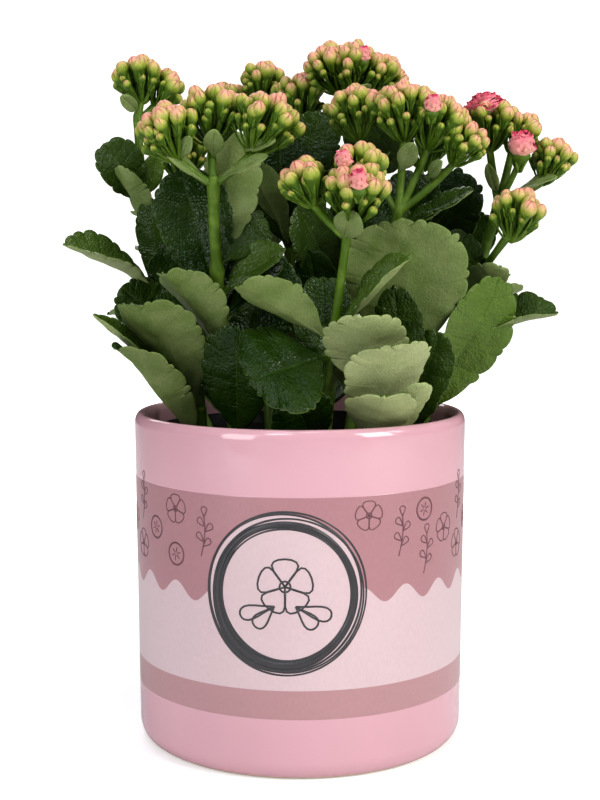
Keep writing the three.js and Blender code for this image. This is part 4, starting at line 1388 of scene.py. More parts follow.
def margin_rows(length, width, depth_share, number):
    """Rows across a blade: (share of its length, middle x, edge x, edge y, phase within the lobe)."""
    margin = Margin(length, width)
    half = margin.total
    stalk = length * PETIOLE_SHARE
    plain = 2 * half * PLAIN_SHARE
    lobes = lobes_for(length, 2 * (half - plain))
    stations = [(stalk * i / 3, 0.5) for i in range(4)]
    if lobes:
        lobe = (2 * half - 2 * plain) / lobes
        stations += [(stalk + (plain - stalk) * i / 5, 0.5) for i in range(1, 5)]
        for i in range(lobes // 2 + 1):
            for phase in LOBE_PHASES:
                if i < lobes // 2 or phase < 0.5:
                    slip = scallop_slip(i, number) * (1 - phase) if i else 0
                    slip += scallop_slip(i + 1, number) * phase if i < lobes // 2 else 0
                    stations.append((plain + lobe * (i + phase + slip), phase))
        depth = min(DEEPEST_SCALLOP * lobe, depth_share * width)
    else:
        stations += [(stalk + (half - stalk) * i / 14, 0.5) for i in range(1, 14)]
        lobe = depth = 0
    rows = []
    for run, phase in stations:
        x, y = margin.at(run)
        if depth and run >= plain:
            (x0, y0), (x1, y1) = margin.at(run - EDGE_PROBE), margin.at(run + EDGE_PROBE)
            size = math.hypot(x1 - x0, y1 - y0)
            which = int((run - plain) / lobe + 1e-6)
            uneven = 0.9 + 0.45 * math.sin(which * 2.3 + number * 1.7)
            rounded = math.sqrt(max(0.0, 1 - (2 * phase**1.25 - 1) ** 2))
            out = depth * uneven * smooth_step(plain - lobe, plain + lobe, run) * (rounded - 0.4)
            swell = 0.022 * width * math.sin(run * 6.5 / half + number * 2.6)
            out += swell * smooth_step(plain, plain + 2 * lobe, run)
            x, y = x - (y1 - y0) / size * out, y + (x1 - x0) / size * out
        if run <= stalk:
            middle = x
        else:
            middle = stalk + (length - stalk) * (run - stalk) / (half - stalk)
        rows.append((middle / length, middle, x, y, phase))
    return rows


def sewn(body, tops, bottoms):
    """Joins the rows of an upper and an under face that share their edge columns."""
    for above, below in zip(zip(tops, tops[1:]), zip(bottoms, bottoms[1:])):
        for j in range(len(tops[0]) - 1):
            body.faces.append((above[0][j], above[1][j], above[1][j + 1], above[0][j + 1]))
            body.faces.append((below[0][j], below[0][j + 1], below[1][j + 1], below[1][j]))


def foot_face(tops, bottoms, j):
    """One face of the open end at the first rows, which has three corners at an edge."""
    return tuple(dict.fromkeys((tops[0][j], tops[0][j + 1], bottoms[0][j + 1], bottoms[0][j])))


def grow_leaf(body, leaf, base, thickness, depth_share, number):
    """Adds one closed leaf: an upper and an under face that share their rounded edge."""
    blade = Blade(leaf, base)
    length, width = blade.length, leaf["width"]
    rows = margin_rows(length, width, depth_share, number)
    chance = (number * 0.618) % 1
    small = smooth_step(34, 22, length)
    # a listed tone is partly painted light and shade: it makes the leaf lighter or darker as light falls on
    # it
    tone = leaf.get("tone", min(1.0, 0.25 * chance + 0.5 * small))
    pale = leaf.get("pale", False)
    across = [-t for t in reversed(COLUMNS[1:])] + list(COLUMNS)
    last = len(across) - 1

    def traits(share, t, below, phase):
        vein = abs(phase - 0.5) * 2 if share > 0.15 else 1.0
        return {"blade": (share, abs(t), 1.0 if pale else below), "growth_and_painted_light": (tone, 1 - vein, 0.0)}

    def unevenness(x, y, fineness, seed):
        return noise.noise(Vector((x * fineness, y * fineness, number * seed)))

    def lift_of(x, y, share, t, phase):
        sway = 1.5 * unevenness(x, y, 0.05, 3.1)
        crinkle = 0.5 * unevenness(x, y, 0.19, 1.7)
        quilt = 0.12 * math.sin(math.pi * phase) ** 2 * math.sin(math.pi * min(1, abs(t) * 1.05))
        curl = 1.6 * unevenness(x, y, 0.11, 5.3) * abs(t) ** 3
        return (sway + crinkle + quilt + curl) * smooth_step(0.08, 0.3, share)

    tops, bottoms = [], []
    for share, middle, edge_x, edge_y, phase in rows:
        half = thickness / 2 * (1 - 0.5 * share)
        top, bottom = [], []
        for column, t in enumerate(across):
            x = middle + (edge_x - middle) * abs(t) ** 1.4
            y = edge_y * t
            lift = lift_of(x, y, share, t, phase)
            if column in (0, last):
                shared = body.point(blade.place(x, y, lift) * MM, **traits(share, t, 0.5, phase))
                top.append(shared)
                bottom.append(shared)
                continue
            flesh = half * math.sqrt(1 - abs(t) ** 4)
            groove = 0.5 * half * math.exp(-((t / 0.07) ** 2)) * smooth_step(0.05, 0.2, share)
            rib = 0.55 * (1 - share) * math.exp(-((t / 0.1) ** 2))
            for side, rise, below in ((top, flesh - groove, 0.0), (bottom, -flesh - rib, 1.0)):
                side.append(body.point(blade.place(x, y, lift + rise) * MM, **traits(share, t, below, phase)))
        tops.append(top)
        bottoms.append(bottom)
    reach = length + depth_share * width * (0.5 if length > PLAIN_BELOW else 0)
    tip_place = blade.place(reach, 0, lift_of(length, 0, 1.0, 0, 0.5))
    tip = body.point(tip_place * MM, **traits(1.0, 1.0, 0.5, 0.5))
    sewn(body, tops, bottoms)
    for j in range(last):
        body.faces.append((tops[-1][j], tip, tops[-1][j + 1]))
        body.faces.append((bottoms[-1][j], bottoms[-1][j + 1], tip))
        body.faces.append(foot_face(tops, bottoms, j))


ROOT_DEPTH = 8


def stem_curve(item):
    """The three steering points of a shoot's stem."""
    root = Vector((*item["root"], SOIL_HIGH.z / MM - ROOT_DEPTH))
    return root, Vector(item["via"]), Vector(item["top"])


def side_curve(item):
    side = item["side"]
    return bent(*stem_curve(item), side["at"]), Vector(side["via"]), Vector(side["top"])


def add_line(body, stations):
    """Adds a line of points, each given as a place and the stem's girth there."""
    before = None
    for place, girth in stations:
        point = body.point(place * MM, girth=girth * MM)
        if before is not None:
            body.edges.append((before, point))
        before = point


def add_path(body, curve, radii, swells=(), steps=28):
    """Adds a bent stem, a little thicker at its nodes: the swells are shares of its length."""
    stations = []
    for i in range(steps + 1):
        t = i / steps
        girth = radii[0] + (radii[1] - radii[0]) * t
        for swell in swells:
            girth *= 1 + 0.22 * math.exp(-(((t - swell) / 0.018) ** 2))
        stations.append((bent(*curve, t), girth))
    add_line(body, stations)


def stem_tree():
    """Sweeps a round, slightly fluted skin along every path, as thick as the path's girth."""
    rule = Rule("stems_along_paths", ("Sides", "Int", 12), ("Flutes", "Float", 0.05))
    curve = rule.first("GeometryNodeMeshToCurve", {0: rule.entry["Geometry"]})
    rise = rule.add("GeometryNodeSplineParameter").outputs["Factor"]
    marked = rule.stored(curve, "rise", rise)
    ring = rule.first("GeometryNodeCurvePrimitiveCircle", {"Resolution": rule.entry["Sides"], "Radius": 1.0})
    place = rule.position()
    x, y, _ = rule.split(place)
    flute = rule.maths("COSINE", rule.product(rule.maths("ARCTAN2", y, x), 4.0))
    ring = rule.moved(ring, rule.scaled(place, rule.tuned(flute, rule.entry["Flutes"], 1.0)))
    return rule.closed(rule.skin(marked, ring, rule.named("girth")))


def swept(name, body, plant, sides=12):
    tree = bpy.data.node_groups.get("stems_along_paths") or stem_tree()
    finish = finish_of("stem", stem_finish, plant)
    return grown(name, body.mesh(name), tree, {"Sides": sides, "Finish": finish})


class KALANCHOE_OT_leafy_stems(bpy.types.Operator):
    """Grow each stem with its scalloped leaves"""

    bl_idname = "kalanchoe.leafy_stems"
    bl_label = "Leafy stems"

    def execute(self, context):
        plant = context.scene.plant
        finish = finish_of("leaf", leaf_finish, plant)
        number = 0
        for name, item in SHOOTS.items():
            node = "leafy_stem_" + name
            curve = stem_curve(item)
            blades = Body("blade", "growth_and_painted_light")
            # the listed tones paint light and shade on these leaves
            leaf_tones_and_light = TONES_AND_PAINTED_LIGHT.get(name, {})
            for place, one in enumerate(item["leaves"]):
                number += 1
                base = bent(*curve, one["at"])
                look = {"tone": leaf_tones_and_light[place]} if place in leaf_tones_and_light else {}
                grow_leaf(blades, {**one, **look}, base, plant.leaf_thickness / MM, plant.lobe_depth, number)
            settled(blades.piece("leaves_" + name, finish), "leaf_and_stem", node)
            stems = Body("girth")
            add_path(stems, curve, item["radius"], [one["at"] for one in item["leaves"]], 60)
            if item["side"]:
                add_path(stems, side_curve(item), item["side"]["radius"])
            settled(swept("stem_" + name, stems, plant), "leaf_and_stem", node)
        return {"FINISHED"}


# ---------- flower heads ----------
BUD_SIDES = 10
# height along the bud and its girth there, as shares of its length and greatest radius
BUD_OUTLINE = (
    (0.0, 0.26),
    (0.15, 0.36),
    (0.32, 0.54),
    (0.48, 0.76),
    (0.62, 0.94),
    (0.73, 1.0),
    (0.84, 0.88),
    (0.93, 0.6),
    (0.98, 0.3),
)
# the length of a bud in its greatest radii, and how far up it is widest
BUD_LENGTH = 4.0
BUD_WIDEST = 0.73
# height, girth and half angle of a sepal's rows
SEPAL_ROWS = ((0.02, 0.3, 0.5), (0.2, 0.46, 0.42), (0.38, 0.68, 0.26), (0.54, 0.9, 0.0))
# petals, twist, sepals and plumpness of the bud shapes, from closed to ready to open
BUD_FORMS = ((4, 0.35, 4, 0.92), (5, 0.6, 4, 1.0), (5, -0.5, 4, 1.05), (4, 0.8, 4, 1.0), (5, 0.45, 4, 1.1))
# how far below the middle of a truss its stalks part, as a share of its reach
FAN_DEPTH = 0.9


def bud_shape(name, petals, twist, sepals, plump):
    """One closed bud, a radius of 1 at its widest, standing on the origin, with its calyx."""
    body = Body("bud")
    rings = []
    for height, girth in BUD_OUTLINE:
        ring = []
        for side in range(BUD_SIDES):
            angle = TAU * side / BUD_SIDES
            turned = (angle / TAU * petals + twist * height) % 1
            seam = min(turned, 1 - turned)
            ridge = 1 + 0.10 * (seam - 0.25) * smooth_step(0.2, 0.7, height)
            radius = girth * ridge * (plump if height > 0.3 else 1.0)
            place = (*polar((0, 0), radius, angle), height * BUD_LENGTH)
            ring.append(body.point(place, bud=(height, seam, 0.0)))
        rings.append(ring)
    tip = body.point((0, 0, BUD_LENGTH * 0.985), bud=(1.0, 0.0, 0.0))
    root = body.point((0, 0, 0), bud=(0.0, 0.3, 0.0))
    for side in range(BUD_SIDES):
        after = (side + 1) % BUD_SIDES
        body.faces.append((root, rings[0][after], rings[0][side]))
        body.faces.append((rings[-1][side], rings[-1][after], tip))
        for low, high in zip(rings, rings[1:]):
            body.faces.append((low[side], low[after], high[after], high[side]))
    for sepal in range(sepals):
        add_sepal(body, TAU * (sepal + 0.5) / sepals)
    return bpy.data.objects.new(name, body.mesh(name))


def add_sepal(body, middle):
    """A narrow closed wedge that lies on the bud."""
    left, right, back = [], [], []
    for height, girth, half in SEPAL_ROWS:
        for group, lean, push in ((left, -half, 0.0), (right, half, 0.0), (back, 0.0, 0.12 if half else 0.0)):
            place = (*polar((0, 0), girth + push, middle + lean), height * BUD_LENGTH)
            group.append(body.point(place, bud=(height, 0.3, 1.0)))
    for low in range(len(SEPAL_ROWS) - 1):
        for one, other in ((left, back), (back, right), (right, left)):
            body.faces.append((one[low], other[low], other[low + 1], one[low + 1]))
    body.faces.append((left[0], right[0], back[0]))
    body.faces.append((left[-1], back[-1], right[-1]))


TRUSS_INPUTS = (
    ("Bud size", "Float", 1.0),
    ("Fullness", "Float", 2.5),
    ("Young share", "Float", 0.95),
    ("Seed", "Int", 7),
)
BUD_RADIUS = 2.95 * MM
# what a young bud, lower and outside, adds to the spread, turn, reach, size and ripeness of a full one
YOUNG_SPREAD = 0.16
YOUNG_TURN = 1.1
YOUNG_REACH = -0.08
YOUNG_SIZE = -0.36
YOUNG_RIPENESS = -0.4
YOUNG_SAG = -0.34
# how far chance moves a bud's lean and turn in radians, its radius and its ripeness
STRAY_LEAN = 0.08
STRAY_TURN = 0.3
STRAY_RADIUS = 0.25 * MM
STRAY_RIPENESS = 0.3


def truss_rule(rule):
    """Each point of the input is a truss. Copies it for each bud and works out the bud's place."""

    def strayed(size, offset=0):
        return rule.chance(-size, size, rule.sum_of(rule.entry["Seed"], offset))

    full = rule.maths("ROUND", rule.product(rule.named("buds"), rule.entry["Fullness"]))
    young = rule.maths("ROUND", rule.product(full, rule.entry["Young share"]))
    amount = {"Geometry": rule.entry["Geometry"], "Amount": rule.sum_of(full, young)}
    copies = rule.add("GeometryNodeDuplicateElements", amount, domain="POINT").outputs
    index = copies["Duplicate Index"]
    is_young = rule.maths("GREATER_THAN", index, rule.less(full, 0.5))
    place_in_turn = rule.less(index, rule.product(is_young, full))
    full_count = rule.product(full, rule.less(1.0, is_young))
    count = rule.sum_of(full_count, rule.product(rule.maths("MAXIMUM", young, 1.0), is_young))
    share = rule.maths("SQRT", rule.maths("DIVIDE", rule.sum_of(place_in_turn, 0.4), count))
    share = rule.sum_of(share, rule.product(is_young, rule.less(1.0, share), 0.4))

    lean = rule.product(rule.named("spread"), rule.tuned(is_young, YOUNG_SPREAD, 1.0), share)
    lean = rule.sum_of(lean, strayed(STRAY_LEAN, 31))
    turn = rule.sum_of(rule.product(index, GOLDEN_ANGLE), rule.product(is_young, YOUNG_TURN))
    turn = rule.sum_of(turn, strayed(STRAY_TURN, 57))
    axis, first, second = (rule.named(name, VECTOR) for name in ("axis", "first", "second"))
    ahead = rule.scaled(first, rule.maths("COSINE", turn))
    aside = rule.scaled(second, rule.maths("SINE", turn))
    outward = rule.scaled(rule.vectors("ADD", ahead, aside), rule.maths("SINE", lean))
    upward = rule.scaled(axis, rule.tuned(rule.maths("COSINE", lean), 0.8, 0.2))
    direction = rule.vectors("ADD", upward, outward)

    full_reach = rule.named("reach")
    wobble = rule.product(rule.maths("SINE", rule.product(index, 1.7)), 0.09)
    reach = rule.sum_of(0.84, rule.product(share, 0.12), wobble, rule.product(is_young, YOUNG_REACH))
    swing = rule.product(rule.maths("SINE", rule.product(index, 2.4)), 0.3 * MM)
    radius = rule.sum_of(BUD_RADIUS, rule.product(share, -0.3 * MM), swing, strayed(STRAY_RADIUS, 83))
    radius = rule.product(radius, rule.entry["Bud size"], rule.tuned(is_young, YOUNG_SIZE, 1.0))
    centre = rule.position()
    sag = rule.scaled(axis, rule.product(is_young, share, full_reach, YOUNG_SAG))
    widest = rule.vectors("ADD", centre, sag, rule.scaled(direction, rule.product(full_reach, reach)))
    root = rule.vectors("SUBTRACT", centre, rule.scaled(axis, rule.product(full_reach, FAN_DEPTH)))
    rising = rule.vectors("SUBTRACT", widest, root)
    rising = rule.vectors("ADD", rising, rule.scaled(axis, rule.product(full_reach, 0.5)))
    direction = rule.vectors("NORMALIZE", rising)
    below = rule.scaled(direction, rule.product(radius, BUD_LENGTH * BUD_WIDEST))
    ripe = rule.sum_of(1.0, rule.product(share, -0.55), rule.product(is_young, YOUNG_RIPENESS))
    return {
        "points": copies["Geometry"],
        "direction": direction,
        "root": root,
        "reach": full_reach,
        "foot": rule.vectors("SUBTRACT", widest, below),
        "radius": radius,
        "ripe": rule.sum_of(ripe, strayed(STRAY_RIPENESS)),
    }


def bud_tree():
    """Stands a bud on every foot of the trusses."""
    rule = Rule("buds_on_trusses", *TRUSS_INPUTS, ("Buds", "Collection", None))
    laid = truss_rule(rule)
    points = rule.stored(laid["points"], "direction", laid["direction"], VECTOR)
    points = rule.stored(points, "bud_radius", laid["radius"])
    points = rule.stored(points, "ripe", laid["ripe"])
    points = rule.moved(points, laid["foot"])
    aim = {"Vector": rule.named("direction", VECTOR)}
    upright = rule.first("FunctionNodeAlignRotationToVector", aim, axis="Z")
    turn = rule.joined(0.0, 0.0, rule.chance(0.0, TAU, 21))
    spin = {0: upright, 1: rule.first("FunctionNodeEulerToRotation", {0: turn})}
    spun = rule.first("FunctionNodeRotateRotation", spin, rotation_space="LOCAL")
    size = rule.named("bud_radius")
    pick = {4: 0, 5: len(BUD_FORMS) - 1, "Seed": 5}
    form = rule.add("FunctionNodeRandomValue", pick, data_type="INT").outputs[2]
    choice = {"Instance": rule.shapes_in(rule.entry["Buds"]), "Pick Instance": True, "Instance Index": form}
    stand = {"Rotation": spun, "Scale": rule.joined(size, size, size)}
    return rule.closed(rule.first("GeometryNodeInstanceOnPoints", {"Points": points, **choice, **stand}))


def stalk_tree():
    """Runs a thin bent stalk from the fork of a truss into the foot of each bud."""
    rule = Rule("bud_stalks", *TRUSS_INPUTS, ("Sides", "Int", 7))
    laid = truss_rule(rule)
    knee = rule.scaled(laid["direction"], rule.product(laid["reach"], 0.4))
    into = rule.scaled(laid["direction"], rule.product(laid["radius"], 0.3))
    points = rule.stored(laid["points"], "start", laid["root"], VECTOR)
    points = rule.stored(points, "knee", rule.vectors("SUBTRACT", laid["foot"], knee), VECTOR)
    points = rule.stored(points, "into", rule.vectors("ADD", laid["foot"], into), VECTOR)
    points = rule.stored(points, "bud_radius", laid["radius"])

    line = rule.first("GeometryNodeCurvePrimitiveLine", {0: (0, 0, 0), 1: (0, 0, 1)})
    line = rule.first("GeometryNodeResampleCurve", {"Curve": line, "Count": 7})
    lines = rule.real(rule.first("GeometryNodeInstanceOnPoints", {"Points": points, "Instance": line}))
    t = rule.add("GeometryNodeSplineParameter").outputs["Factor"]
    rest = rule.less(1.0, t)
    weights = (rule.product(rest, rest), rule.product(t, rest, 2.0), rule.product(t, t))
    steered = zip(("start", "knee", "into"), weights)
    bow = rule.vectors("ADD", *(rule.scaled(rule.named(name, VECTOR), weight) for name, weight in steered))
    lines = rule.stored(rule.moved(lines, bow), "rise", 0.9)
    girth = rule.product(rule.named("bud_radius"), rule.tuned(t, -0.04, 0.32))
    ring = rule.first("GeometryNodeCurvePrimitiveCircle", {"Resolution": rule.entry["Sides"], "Radius": 1.0})
    return rule.closed(rule.skin(lines, ring, girth))


def truss_points(name, trusses):
    """One point for each truss, with what its rule needs."""
    body = Body("reach", "buds", "spread", "axis", "first", "second")
    for item in trusses:
        axis = Vector(item["axis"]).normalized()
        first, second = sides_of(axis)
        body.point(
            Vector(item["at"]) * MM,
            reach=item["reach"] * MM,
            buds=float(item["buds"]),
            spread=math.radians(item["spread"]),
            axis=axis,
            first=first,
            second=second,
        )
    return body.mesh(name)


# the swelling where a head joins its stem: places along the stem from its end, and shares of its girth
COLLAR = ((-7, 0.8), (-4.5, 0.97), (-2, 1.04), (0, 1.1), (2, 1.12), (4, 1.02), (5.5, 0.7))
FORK_RISE = 2


def head_branches(name):
    """Branches from the end of the stem to each truss and each flower."""
    if name == "right_side":
        curve, girth = side_curve(SHOOTS["right"]), SHOOTS["right"]["side"]["radius"][1]
    else:
        curve, girth = stem_curve(SHOOTS[name]), SHOOTS[name]["radius"][1]
    way = bent_way(*curve, 1.0)
    foot = curve[2] + way * 0.3
    fork = foot + way * FORK_RISE
    branches = []
    for item in HEADS[name]:
        drop = Vector(item["axis"]).normalized() * (item["reach"] * (FAN_DEPTH - 0.15))
        branches.append((fork, Vector(item["at"]) - drop, (1.6, 1.5)))
    for item in BLOOMS.get(name, []):
        end = Vector(item["at"]) - Vector(item["axis"]).normalized() * item["radius"]
        branches.append((Vector(item["from"]) if item["from"] else fork, end, (1.4, 1.2)))
    body = Body("girth")
    for origin, end, radii in branches:
        middle = origin.lerp(end, 0.55)
        middle.z -= (end - origin).length * 0.08
        add_path(body, (origin, middle, end), radii, steps=14)
    add_line(body, [(foot + way * rise, girth * share) for rise, share in COLLAR])
    return body


class KALANCHOE_OT_flower_heads(bpy.types.Operator):
    """Set the buds and their stalks on every flower head"""

    bl_idname = "kalanchoe.flower_heads"
    bl_label = "Flower heads"

    def execute(self, context):
        plant = context.scene.plant
        shapes = shape_group("bud_shapes", [bud_shape(f"bud_{i}", *form) for i, form in enumerate(BUD_FORMS)])
        bud_rule, stalk_rule = bud_tree(), stalk_tree()
        skin = finish_of("bud", bud_finish, plant)
        green = finish_of("stem", stem_finish, plant)
        leafy = finish_of("leaf", leaf_finish, plant)
        thickness = plant.leaf_thickness / MM * BRACT_THINNESS
        for number, (name, trusses) in enumerate(HEADS.items()):
            node = "flower_head_" + name
            size = plant.bud_size * BUD_SCALE.get(name, 1.0)
            common = {"Bud size": size, "Fullness": FULLNESS.get(name, 2.5), "Seed": 7 + number}
            values = {**common, "Buds": shapes, "Finish": skin}
            settled(grown("buds_" + name, truss_points(name, trusses), bud_rule, values), "flower_buds", node)
            values = {**common, "Finish": green}
            stalks = grown("bud_stalks_" + name, truss_points(name, trusses), stalk_rule, values)
            settled(stalks, "leaf_and_stem", node)
            if name in BRACTS:
                blades = Body("blade", "growth_and_painted_light")
                for place, one in enumerate(BRACTS[name]):
                    grow_leaf(blades, one, Vector(one["foot"]), thickness, 0, 7 * number + place)
                settled(blades.piece("bracts_" + name, leafy), "leaf_and_stem", node)
            settled(swept("branches_" + name, head_branches(name), plant, 10), "leaf_and_stem", node)
        put_away(shapes)
        return {"FINISHED"}


# ---------- open flowers ----------
# petals in a whorl, their tilt outwards at the foot and at the tip in degrees, then their length and how far
# up they start, both as shares of the flower's radius
BUD_WHORLS = (
    (4, 80, -62, 1.5, 0.0),
    (4, 66, -44, 1.45, 0.12),
    (4, 46, -16, 1.3, 0.3),
    (3, 26, 14, 1.1, 0.5),
)
HALF_OPEN_WHORLS = (
    (5, 76, -34, 1.5, 0.0),
    (5, 66, -22, 1.45, 0.1),
    (5, 54, -8, 1.35, 0.2),
    (4, 36, 6, 1.2, 0.34),
    (3, 16, 6, 1.0, 0.5),
)
OPEN_WHORLS = (
    (6, 40, 66, 1.2, 0.0),
    (6, 32, 48, 1.15, 0.06),
    (6, 24, 32, 1.1, 0.14),
    (5, 14, 18, 1.0, 0.24),
    (4, 6, 8, 0.9, 0.34),
)
PETAL_ROWS = 8
# columns on each side of a petal's middle
PETAL_COLUMNS = 4
PETAL_HALF_THICKNESS = 0.15


def add_petal(body, foot, axis, outward, lean, length, number):
    """One thin ruffled petal, cupped towards the axis. lean is its tilt at the foot and at the tip."""
    start = axis * math.cos(lean[0]) + outward * math.sin(lean[0])
    end = axis * math.cos(lean[1]) + outward * math.sin(lean[1])
    side = axis.cross(outward).normalized()
    tops, bottoms = [], []
    centre = foot.copy()
    for row in range(PETAL_ROWS + 1):
        s = row / PETAL_ROWS
        way = start.lerp(end, s).normalized()
        if row:
            centre = centre + way * (length / PETAL_ROWS)
        normal = side.cross(way).normalized()
        round_off = math.sqrt(max(0.1, 1 - (max(0.0, s - 0.6) / 0.42) ** 2))
        half = length * 0.5 * (0.4 + 0.6 * smooth_step(0.0, 0.5, s)) * round_off
        top, bottom = [], []
        for column in range(-PETAL_COLUMNS, PETAL_COLUMNS + 1):
            t = column / PETAL_COLUMNS
            frill = 0.05 * length * s**2 * math.sin(t * 5.5 + number * 2.1 + s * 2)
            cup = -0.22 * length * t * t * (1 - 0.3 * s)
            middle = centre + side * (half * t) + normal * (frill + cup) - way * (0.12 * length * t * t * s)
            if abs(column) == PETAL_COLUMNS or row == PETAL_ROWS:
                shared = body.point(middle * MM, blade=(s, abs(t), 0.5))
                top.append(shared)
                bottom.append(shared)
            else:
                skin = normal * PETAL_HALF_THICKNESS
                top.append(body.point((middle + skin) * MM, blade=(s, abs(t), 1.0)))
                bottom.append(body.point((middle - skin) * MM, blade=(s, abs(t), 0.0)))
        tops.append(top)
        bottoms.append(bottom)
    sewn(body, tops, bottoms)
    for j in range(2 * PETAL_COLUMNS):
        body.faces.append(foot_face(tops, bottoms, j))


def whorls_for(opened):
    if opened > 0.8:
        return OPEN_WHORLS
    return HALF_OPEN_WHORLS if opened > 0.3 else BUD_WHORLS


def add_flower(body, item, whorls):
    """Petals in whorls round an axis."""
    axis = Vector(item["axis"]).normalized()
    first, second = sides_of(axis)
    radius = item["radius"]
    number = 0
    for order, (petals, low, high, length, rise) in enumerate(whorls):
        for petal in range(petals):
            number += 1
            turn = TAU * petal / petals + order * 0.9 + 0.15 * math.sin(number * 1.9)
            outward = first * math.cos(turn) + second * math.sin(turn)
            foot = Vector(item["at"]) + axis * (radius * (rise - 0.75)) + outward * (radius * 0.12)
            swing = 7 * math.sin(number * 2.7)
            tilt = (math.radians(low + swing), math.radians(high + swing))
            add_petal(body, foot, axis, outward, tilt, radius * length, number)


def add_calyx(body, item, shape):
    """The green cup under a flower: a squat bud shape, with its sepals."""
    axis = Vector(item["axis"]).normalized()
    first, second = sides_of(axis)
    shut = 1 - item["open"]
    foot = Vector(item["at"]) - axis * (item["radius"] * (1.5 + 0.35 * shut))
    wide = item["radius"] * (0.44 + 0.3 * shut)
    tall = item["radius"] * 0.36
    base = len(body.points)
    traits = shape.data.attributes["bud"].data
    for vertex in shape.data.vertices:
        x, y, z = vertex.co
        place = foot + first * (x * wide) + second * (y * wide) + axis * (z * tall)
        body.point(place * MM, bud=tuple(traits[vertex.index].vector), ripe=-1.0)
    for polygon in shape.data.polygons:
        body.faces.append(tuple(base + corner for corner in polygon.vertices))


class KALANCHOE_OT_open_flowers(bpy.types.Operator):
    """Open the first few flowers"""

    bl_idname = "kalanchoe.open_flowers"
    bl_label = "Open flowers"

    def execute(self, context):
        plant = context.scene.plant
        rosy = finish_of("petal", petal_finish, plant)
        green = finish_of("bud", bud_finish, plant)
        cup = bud_shape("calyx", 5, 0.3, 5, 1.0)
        for name in dict.fromkeys((*BLOOMS, *OPENING)):
            petals, cups = Body("blade"), Body("bud", "ripe")
            for item in (*BLOOMS.get(name, []), *OPENING.get(name, [])):
                add_flower(petals, item, whorls_for(item["open"]))
                add_calyx(cups, item, cup)
            node = "flower_head_" + name
            settled(petals.piece("petals_" + name, rosy), "flower_buds", node)
            settled(cups.piece("calyxes_" + name, green), "flower_buds", node)
        bpy.data.objects.remove(cup)
        return {"FINISHED"}


# ---------- stage ----------
# place, size, power and colour of each soft window
WINDOWS = {
    "key_window": ((1.05, -0.75, 0.75), (0.55, 0.8), 14, (1, 0.985, 0.96)),
    "left_window": ((-0.85, -0.95, 0.5), (0.5, 0.8), 7.2, (0.96, 0.98, 1)),
    "high_window": ((-0.25, -0.8, 1.05), (0.26, 0.3), 2.6, (0.8, 0.9, 1)),
    "side_strip": ((1.05, -0.3, 0.8), (0.14, 0.4), 1.3, (0.85, 0.93, 1)),
    "top_bank": ((0.1, -0.1, 1.3), (0.7, 0.5), 4.5, (1, 1, 1)),
    "back_glow": ((-0.3, 1.05, 1.0), (1.0, 0.7), 7, (0.97, 0.98, 1)),
}
LIT_PLACE = Vector((0, 0, 0.15))


def soft_light(name, place, size, power, colour):
    data = bpy.data.lights.new(name, "AREA")
    data.shape = "RECTANGLE"
    data.size, data.size_y = size
    data.energy = power
    data.color = colour
    lamp = bpy.data.objects.new(name, data)
    lamp.location = place
    lamp.rotation_euler = (LIT_PLACE - Vector(place)).to_track_quat("-Z", "Y").to_euler()
    bpy.context.scene.collection.objects.link(lamp)


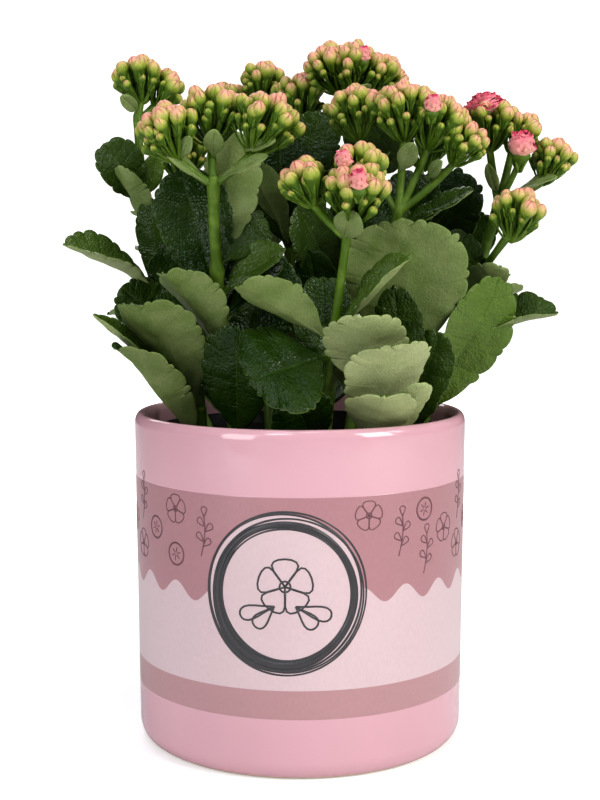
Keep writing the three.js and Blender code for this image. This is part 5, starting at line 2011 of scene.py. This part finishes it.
class KALANCHOE_OT_stage(bpy.types.Operator):
    """Set the pale floor, the soft lights and the camera"""

    bl_idname = "kalanchoe.stage"
    bl_label = "Stage"

    def execute(self, context):
        scene = context.scene
        stage = scene.stage
        scene.view_settings.view_transform = "Standard"
        scene.view_settings.look = "Medium High Contrast"
        body = Body()
        half = stage.floor_size / 2
        for x, y in ((-half, -half), (half, -half), (half, half), (-half, half)):
            body.point((x, y, 0))
        body.faces.append((0, 1, 2, 3))
        body.piece("floor", finish_of("floor", floor_finish))

        world = bpy.data.worlds.new("white_room")
        world.use_nodes = True
        work = Bench(world.node_tree)
        sky = world.node_tree.nodes["Background"]
        sky.inputs["Color"].default_value = (1.0, 1.0, 0.98, 1)
        seen_strength = 1.05
        strength = work.tuned(work.seen_by_camera(), seen_strength - stage.fill, stage.fill)
        work.feed(sky.inputs["Strength"], strength)
        scene.world = world

        for name, window in WINDOWS.items():
            soft_light(name, *window)

        camera_data = bpy.data.cameras.new("camera")
        camera_data.lens = stage.lens
        camera_data.sensor_width = 36
        camera = bpy.data.objects.new("camera", camera_data)
        camera.location = (0, -stage.camera_distance, stage.camera_height)
        camera.rotation_euler = (math.pi / 2 - stage.camera_pitch, 0, 0)
        scene.collection.objects.link(camera)
        scene.camera = camera
        return {"FINISHED"}


# ---------- the add-on ----------
class KALANCHOE_PT_panel(bpy.types.Panel):
    """Lists the settings and the operators in the order they run"""

    bl_label = "Potted kalanchoe"
    bl_idname = "KALANCHOE_PT_panel"
    bl_space_type = "VIEW_3D"
    bl_region_type = "UI"
    bl_category = "Kalanchoe"

    def draw(self, context):
        for group in (context.scene.cover_pot, context.scene.plant, context.scene.stage):
            box = self.layout.box()
            for name in type(group).__annotations__:
                box.prop(group, name)
        for operator in OPERATORS:
            self.layout.operator(operator.bl_idname)


OPERATORS = (
    KALANCHOE_OT_stage,
    KALANCHOE_OT_cover_pot,
    KALANCHOE_OT_wall_print,
    KALANCHOE_OT_nursery_pot,
    KALANCHOE_OT_soil,
    KALANCHOE_OT_leafy_stems,
    KALANCHOE_OT_flower_heads,
    KALANCHOE_OT_open_flowers,
)
GROUPS = {"cover_pot": CoverPotSettings, "plant": PlantSettings, "stage": StageSettings}


def register():
    for item in (*GROUPS.values(), *OPERATORS, KALANCHOE_PT_panel):
        bpy.utils.register_class(item)
    for name, group in GROUPS.items():
        setattr(bpy.types.Scene, name, PointerProperty(type=group))


def unregister():
    for name in GROUPS:
        delattr(bpy.types.Scene, name)
    for item in reversed((*GROUPS.values(), *OPERATORS, KALANCHOE_PT_panel)):
        bpy.utils.unregister_class(item)


def main():
    register()
    bpy.ops.kalanchoe.stage()
    bpy.ops.kalanchoe.cover_pot()
    bpy.ops.kalanchoe.wall_print()
    bpy.ops.kalanchoe.nursery_pot()
    bpy.ops.kalanchoe.soil()
    bpy.ops.kalanchoe.leafy_stems()
    bpy.ops.kalanchoe.flower_heads()
    bpy.ops.kalanchoe.open_flowers()


if __name__ == "__main__":
    main()
